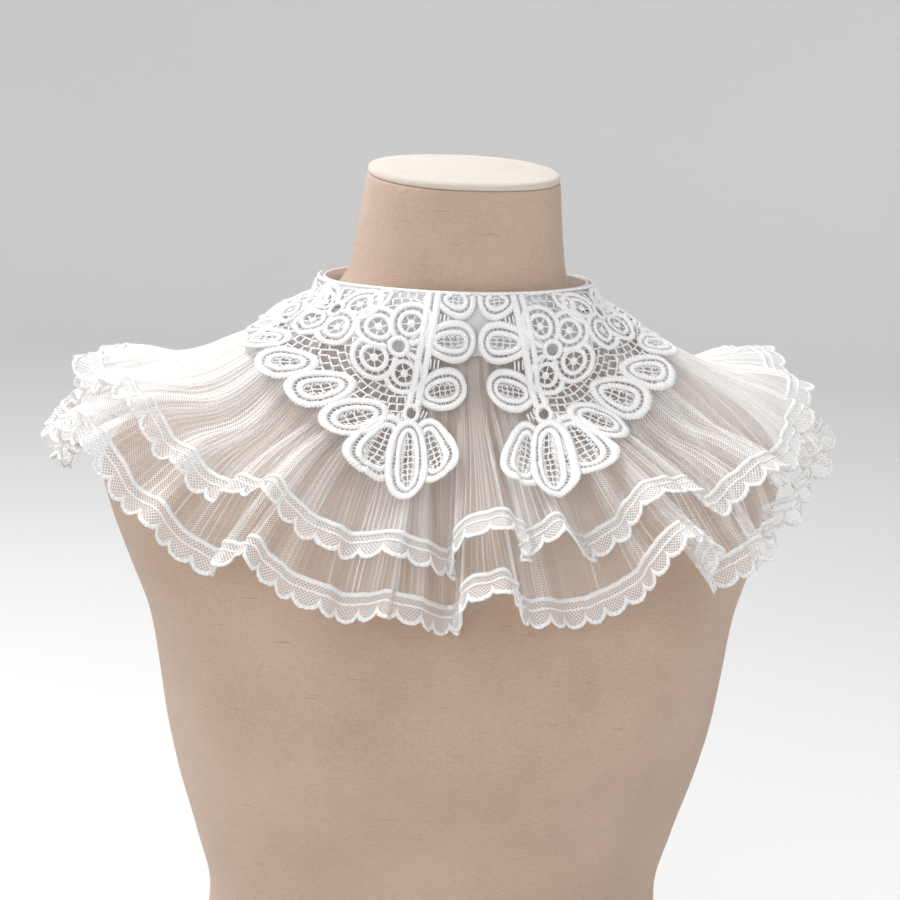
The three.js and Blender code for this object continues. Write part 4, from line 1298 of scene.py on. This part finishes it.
def spine(relief):
    line = relief.evened(spine_line(), SPINE_CORDS["step"])
    for side in (-1, 1):
        relief.lay(line + side * SPINE_CORDS["apart"] * relief.sideways(line), SPINE_CORDS)
    marks = relief.evened(line, RUNGS["pitch"])
    step = RUNGS["reach"] * relief.sideways(marks)
    bars(relief, marks - step, marks + step, RUNGS)
    sizes = [HOLE[key] + 2 * HOLE_RING["half_width"] for key in ("width", "length")]
    ring(relief, at_motif(HOLE, egg(*sizes, HOLE_RING["points"], 0)), HOLE_RING)


def ladders(relief):
    for row in LADDERS:
        places = (np.arange(row["count"]) - (row["count"] - 1) / 2) * row["pitch"]
        half = row["span"] / 2
        starts, ends = (at_motif(row, pairs(side * half, places)) for side in (-1, 1))
        bars(relief, starts, ends, JOINING_BARS)


def bud(relief, motif):
    outline = [motif[key] - 2 * BUD_RING["half_width"] for key in ("length", "width")]
    ring(relief, at_motif(motif, egg(*outline)), BUD_RING)
    reach = np.linspace(-BUD_KNOT["reach"], BUD_KNOT["reach"], BUD_KNOT["points"]) * motif["length"]
    relief.lay(at_motif(motif, pairs(reach, 0)), BUD_KNOT)
    inner = (motif["length"] * BUD_SPOKES["length"], BUD_SPOKES["width"])
    rims, middles = (at_motif(motif, egg(*size, BUD_SPOKES["count"], 0)) for size in (outline, inner))
    bars(relief, rims, middles, BUD_SPOKES)


def covered(points):
    """Whether flat points lie under a leaf, a petal, an eye, a bud, the hole or the spine."""
    petals = [place for motif in LACE_FLOWERS for place in flower_places(motif)]
    covers = [(motif, -UNDERLAP["leaf"]) for motif in [*LACE_LEAVES, *petals]]
    covers += [({**motif, "length": EYE["cover"], "width": EYE["cover"]}, 0) for motif in LACE_FLOWERS]
    covers += [(motif, -UNDERLAP["bud"]) for motif in BUDS]
    covers += [(HOLE, HOLE_RING["half_width"])]
    found = np.any([inside_egg(motif, points, margin) for motif, margin in covers], axis=0)
    line = spine_line()
    beside = np.abs(points[:, 0] - np.interp(points[:, 1], line[:, 1], line[:, 0]))
    return found | (beside < UNDERLAP["spine"]) & (points[:, 1] < line[-1, 1])


def inside_ground(points):
    """Whether flat points lie inside the ground's corners."""
    corners = np.array([flat_place(at, down) for at, down in GROUND_CORNERS])
    inside = np.zeros(len(points), bool)
    for (x0, y0), (x1, y1) in zip(corners, np.roll(corners, -1, axis=0)):
        crosses = (y0 > points[:, 1]) != (y1 > points[:, 1])
        at = x0 + (points[:, 1] - y0) * (x1 - x0) / (y1 - y0 if y1 != y0 else 1)
        inside ^= crosses & (points[:, 0] < at)
    return inside


def ground(relief):
    """The net between the motifs: arcs round the nearest flower, joined by short bars."""
    centres = np.array([flat_place(motif["at"], motif["down"]) for motif in LACE_FLOWERS])
    for index, motif in enumerate(LACE_FLOWERS):
        place = {**motif, "turn": 0}
        for arc in range(GROUND["arcs"]):
            reach = GROUND["first"] + arc * GROUND["arc_step"]
            count = round(2 * np.pi * reach / GROUND["bar_step"])
            here, farther = (at_motif(place, egg(2 * far, 2 * far, count, 0))
                             for far in (reach, reach + GROUND["arc_step"]))
            for start, end in ((here, np.roll(here, -1, axis=0)), (here, farther)):
                middle = (start + end) / 2
                nearest = np.argmin(np.linalg.norm(middle[:, None] - centres[None], axis=2), axis=1)
                kept = (nearest == index) & inside_ground(middle) & ~covered(middle)
                bars(relief, start[kept], end[kept], GROUND)


def top_edge(relief):
    """The cord along the band's top, which starts at the front gap."""
    ats = np.linspace(TOP_CORD["from"], TOP_CORD["to"], TOP_CORD["points"])
    line = flat_place(ats, TOP_CORD["down"])
    relief.lay(relief.evened(line, TOP_CORD["step"]), TOP_CORD)


def lace_half(side, name, node):
    """One half of the collar: its flat pattern, laid on the lace's surface on its own side."""
    relief = Relief(LACE["flare"] / LACE["neck_radius"])
    for part in (ground, top_edge, ladders, spine):
        part(relief)
    for draw, motifs in ((bud, BUDS), (leaf, LACE_LEAVES), (flower, LACE_FLOWERS)):
        for motif in motifs:
            draw(relief, motif)

    def place(pattern):
        hang = smooth((pattern[:, 1] - HANG["from"]) / HANG["over"]) * (side > 0)
        angle = LACE["shift"] + side * np.degrees(pattern[:, 0] / LACE["neck_radius"]) - HANG["turn"] * hang
        return lace_cloth.at(angle, np.maximum(pattern[:, 1] + HANG["drop"] * hang, 0), pattern[:, 2])

    piece = relief.laid(name, place, flip=side > 0)
    finish_piece(piece, "guipure", "guipure", node)


# Camera, floor and light

# The camera's angles in degrees, and its distance and target in metres
CAMERA = {"azimuth": -12, "elevation": 11, "roll": 2.2, "distance": 1.4, "target": (0, 0, 0.36),
          "mm_per_pixel": 0.568, "frame": 900, "sensor": 36}
# A round pale floor that curves up into a low wall, far outside the object, the camera and the lights
STAGE = {"radius": 3600, "rise": 1700, "bend": 900, "columns": 96, "rings": (5, 600, 1300, 2000)}
STAGE_GREY = {"low": 0.73, "middle": 0.75, "high": 0.77}
WORLD_STRENGTH = 0.66
# Round area lights: places in metres, and the height over the floor that each aims at
LIGHTS = table("name place aim size power", (
    ("key", (-0.8, 0.4, 1.9), 0.4, 0.9, 30),
    ("front", (-1.3, -2.3, 1.1), 0.35, 1.4, 19),
    ("fill", (2.0, -1.2, 1.5), 0.38, 1.4, 12),
))


def camera():
    a, e, roll = (math.radians(CAMERA[key]) for key in ("azimuth", "elevation", "roll"))
    back = Vector((math.sin(a) * math.cos(e), -math.cos(a) * math.cos(e), math.sin(e)))
    right = Vector((math.cos(a), math.sin(a), 0))
    up = back.cross(right)
    across = right * math.cos(roll) + up * math.sin(roll)
    above = up * math.cos(roll) - right * math.sin(roll)
    data = bpy.data.cameras.new("camera")
    data.sensor_width = CAMERA["sensor"]
    data.lens = CAMERA["sensor"] * CAMERA["distance"] / (CAMERA["frame"] * CAMERA["mm_per_pixel"] * MM)
    thing = add_object("camera", data)
    place = Vector(CAMERA["target"]) + back * CAMERA["distance"]
    thing.matrix_world = Matrix.Translation(place) @ Matrix((across, above, back)).transposed().to_4x4()
    bpy.context.scene.camera = thing


def stage():
    turn = np.radians(np.linspace(0, 90, 20))
    inner = STAGE["radius"] - STAGE["bend"]
    reach = np.concatenate([STAGE["rings"], inner + STAGE["bend"] * np.sin(turn), [STAGE["radius"]]])
    level = np.zeros(len(STAGE["rings"]))
    lift = np.concatenate([level, STAGE["bend"] * (1 - np.cos(turn)), [STAGE["rise"]]])
    rings = polar(round_angles(STAGE["columns"]), reach[:, None], lift[:, None])
    floor = make_mesh("stage_floor", rings, grid_faces(*rings.shape[:2], closed=True)[:, ::-1])
    low, middle, high = ([STAGE_GREY[key]] * 3 for key in ("low", "middle", "high"))
    shader = Shader("stage", middle, 0.9)
    shader.give(Base_Color=shader.tint(shader.noise(1.5), low, high))
    floor.data.materials.append(shader.material)


def light():
    world = bpy.data.worlds.new("world")
    world.use_nodes = True
    world.node_tree.nodes["Background"].inputs["Color"].default_value = (1, 1, 1, 1)
    world.node_tree.nodes["Background"].inputs["Strength"].default_value = WORLD_STRENGTH
    bpy.context.scene.world = world
    bpy.context.scene.view_settings.view_transform = "Standard"
    for lamp in LIGHTS:
        data = bpy.data.lights.new(lamp["name"], "AREA")
        data.shape = "DISK"
        data.size = lamp["size"]
        data.energy = lamp["power"]
        thing = add_object(lamp["name"], data)
        thing.location = lamp["place"]
        toward = Vector((0, 0, lamp["aim"])) - Vector(lamp["place"])
        thing.rotation_euler = toward.to_track_quat("-Z", "Y").to_euler()


camera()
light()
stage()
dress_form()
neck_cap()
neck_band()
yoke()
button()
TIER_CLOTHS = (("lower", lower_cloth, ["form_torso"]), ("upper", upper_cloth, ["lower_tier"]))
for build, part in ((tulle_tier, "tier"), (lace_edging, "edging")):
    for tier, surface, under in TIER_CLOTHS:
        build(tier, surface, f"{tier}_{part}", under)
for side, name in ((1, "lace_left"), (-1, "lace_right")):
    lace_half(side, f"{name}_guipure", name)
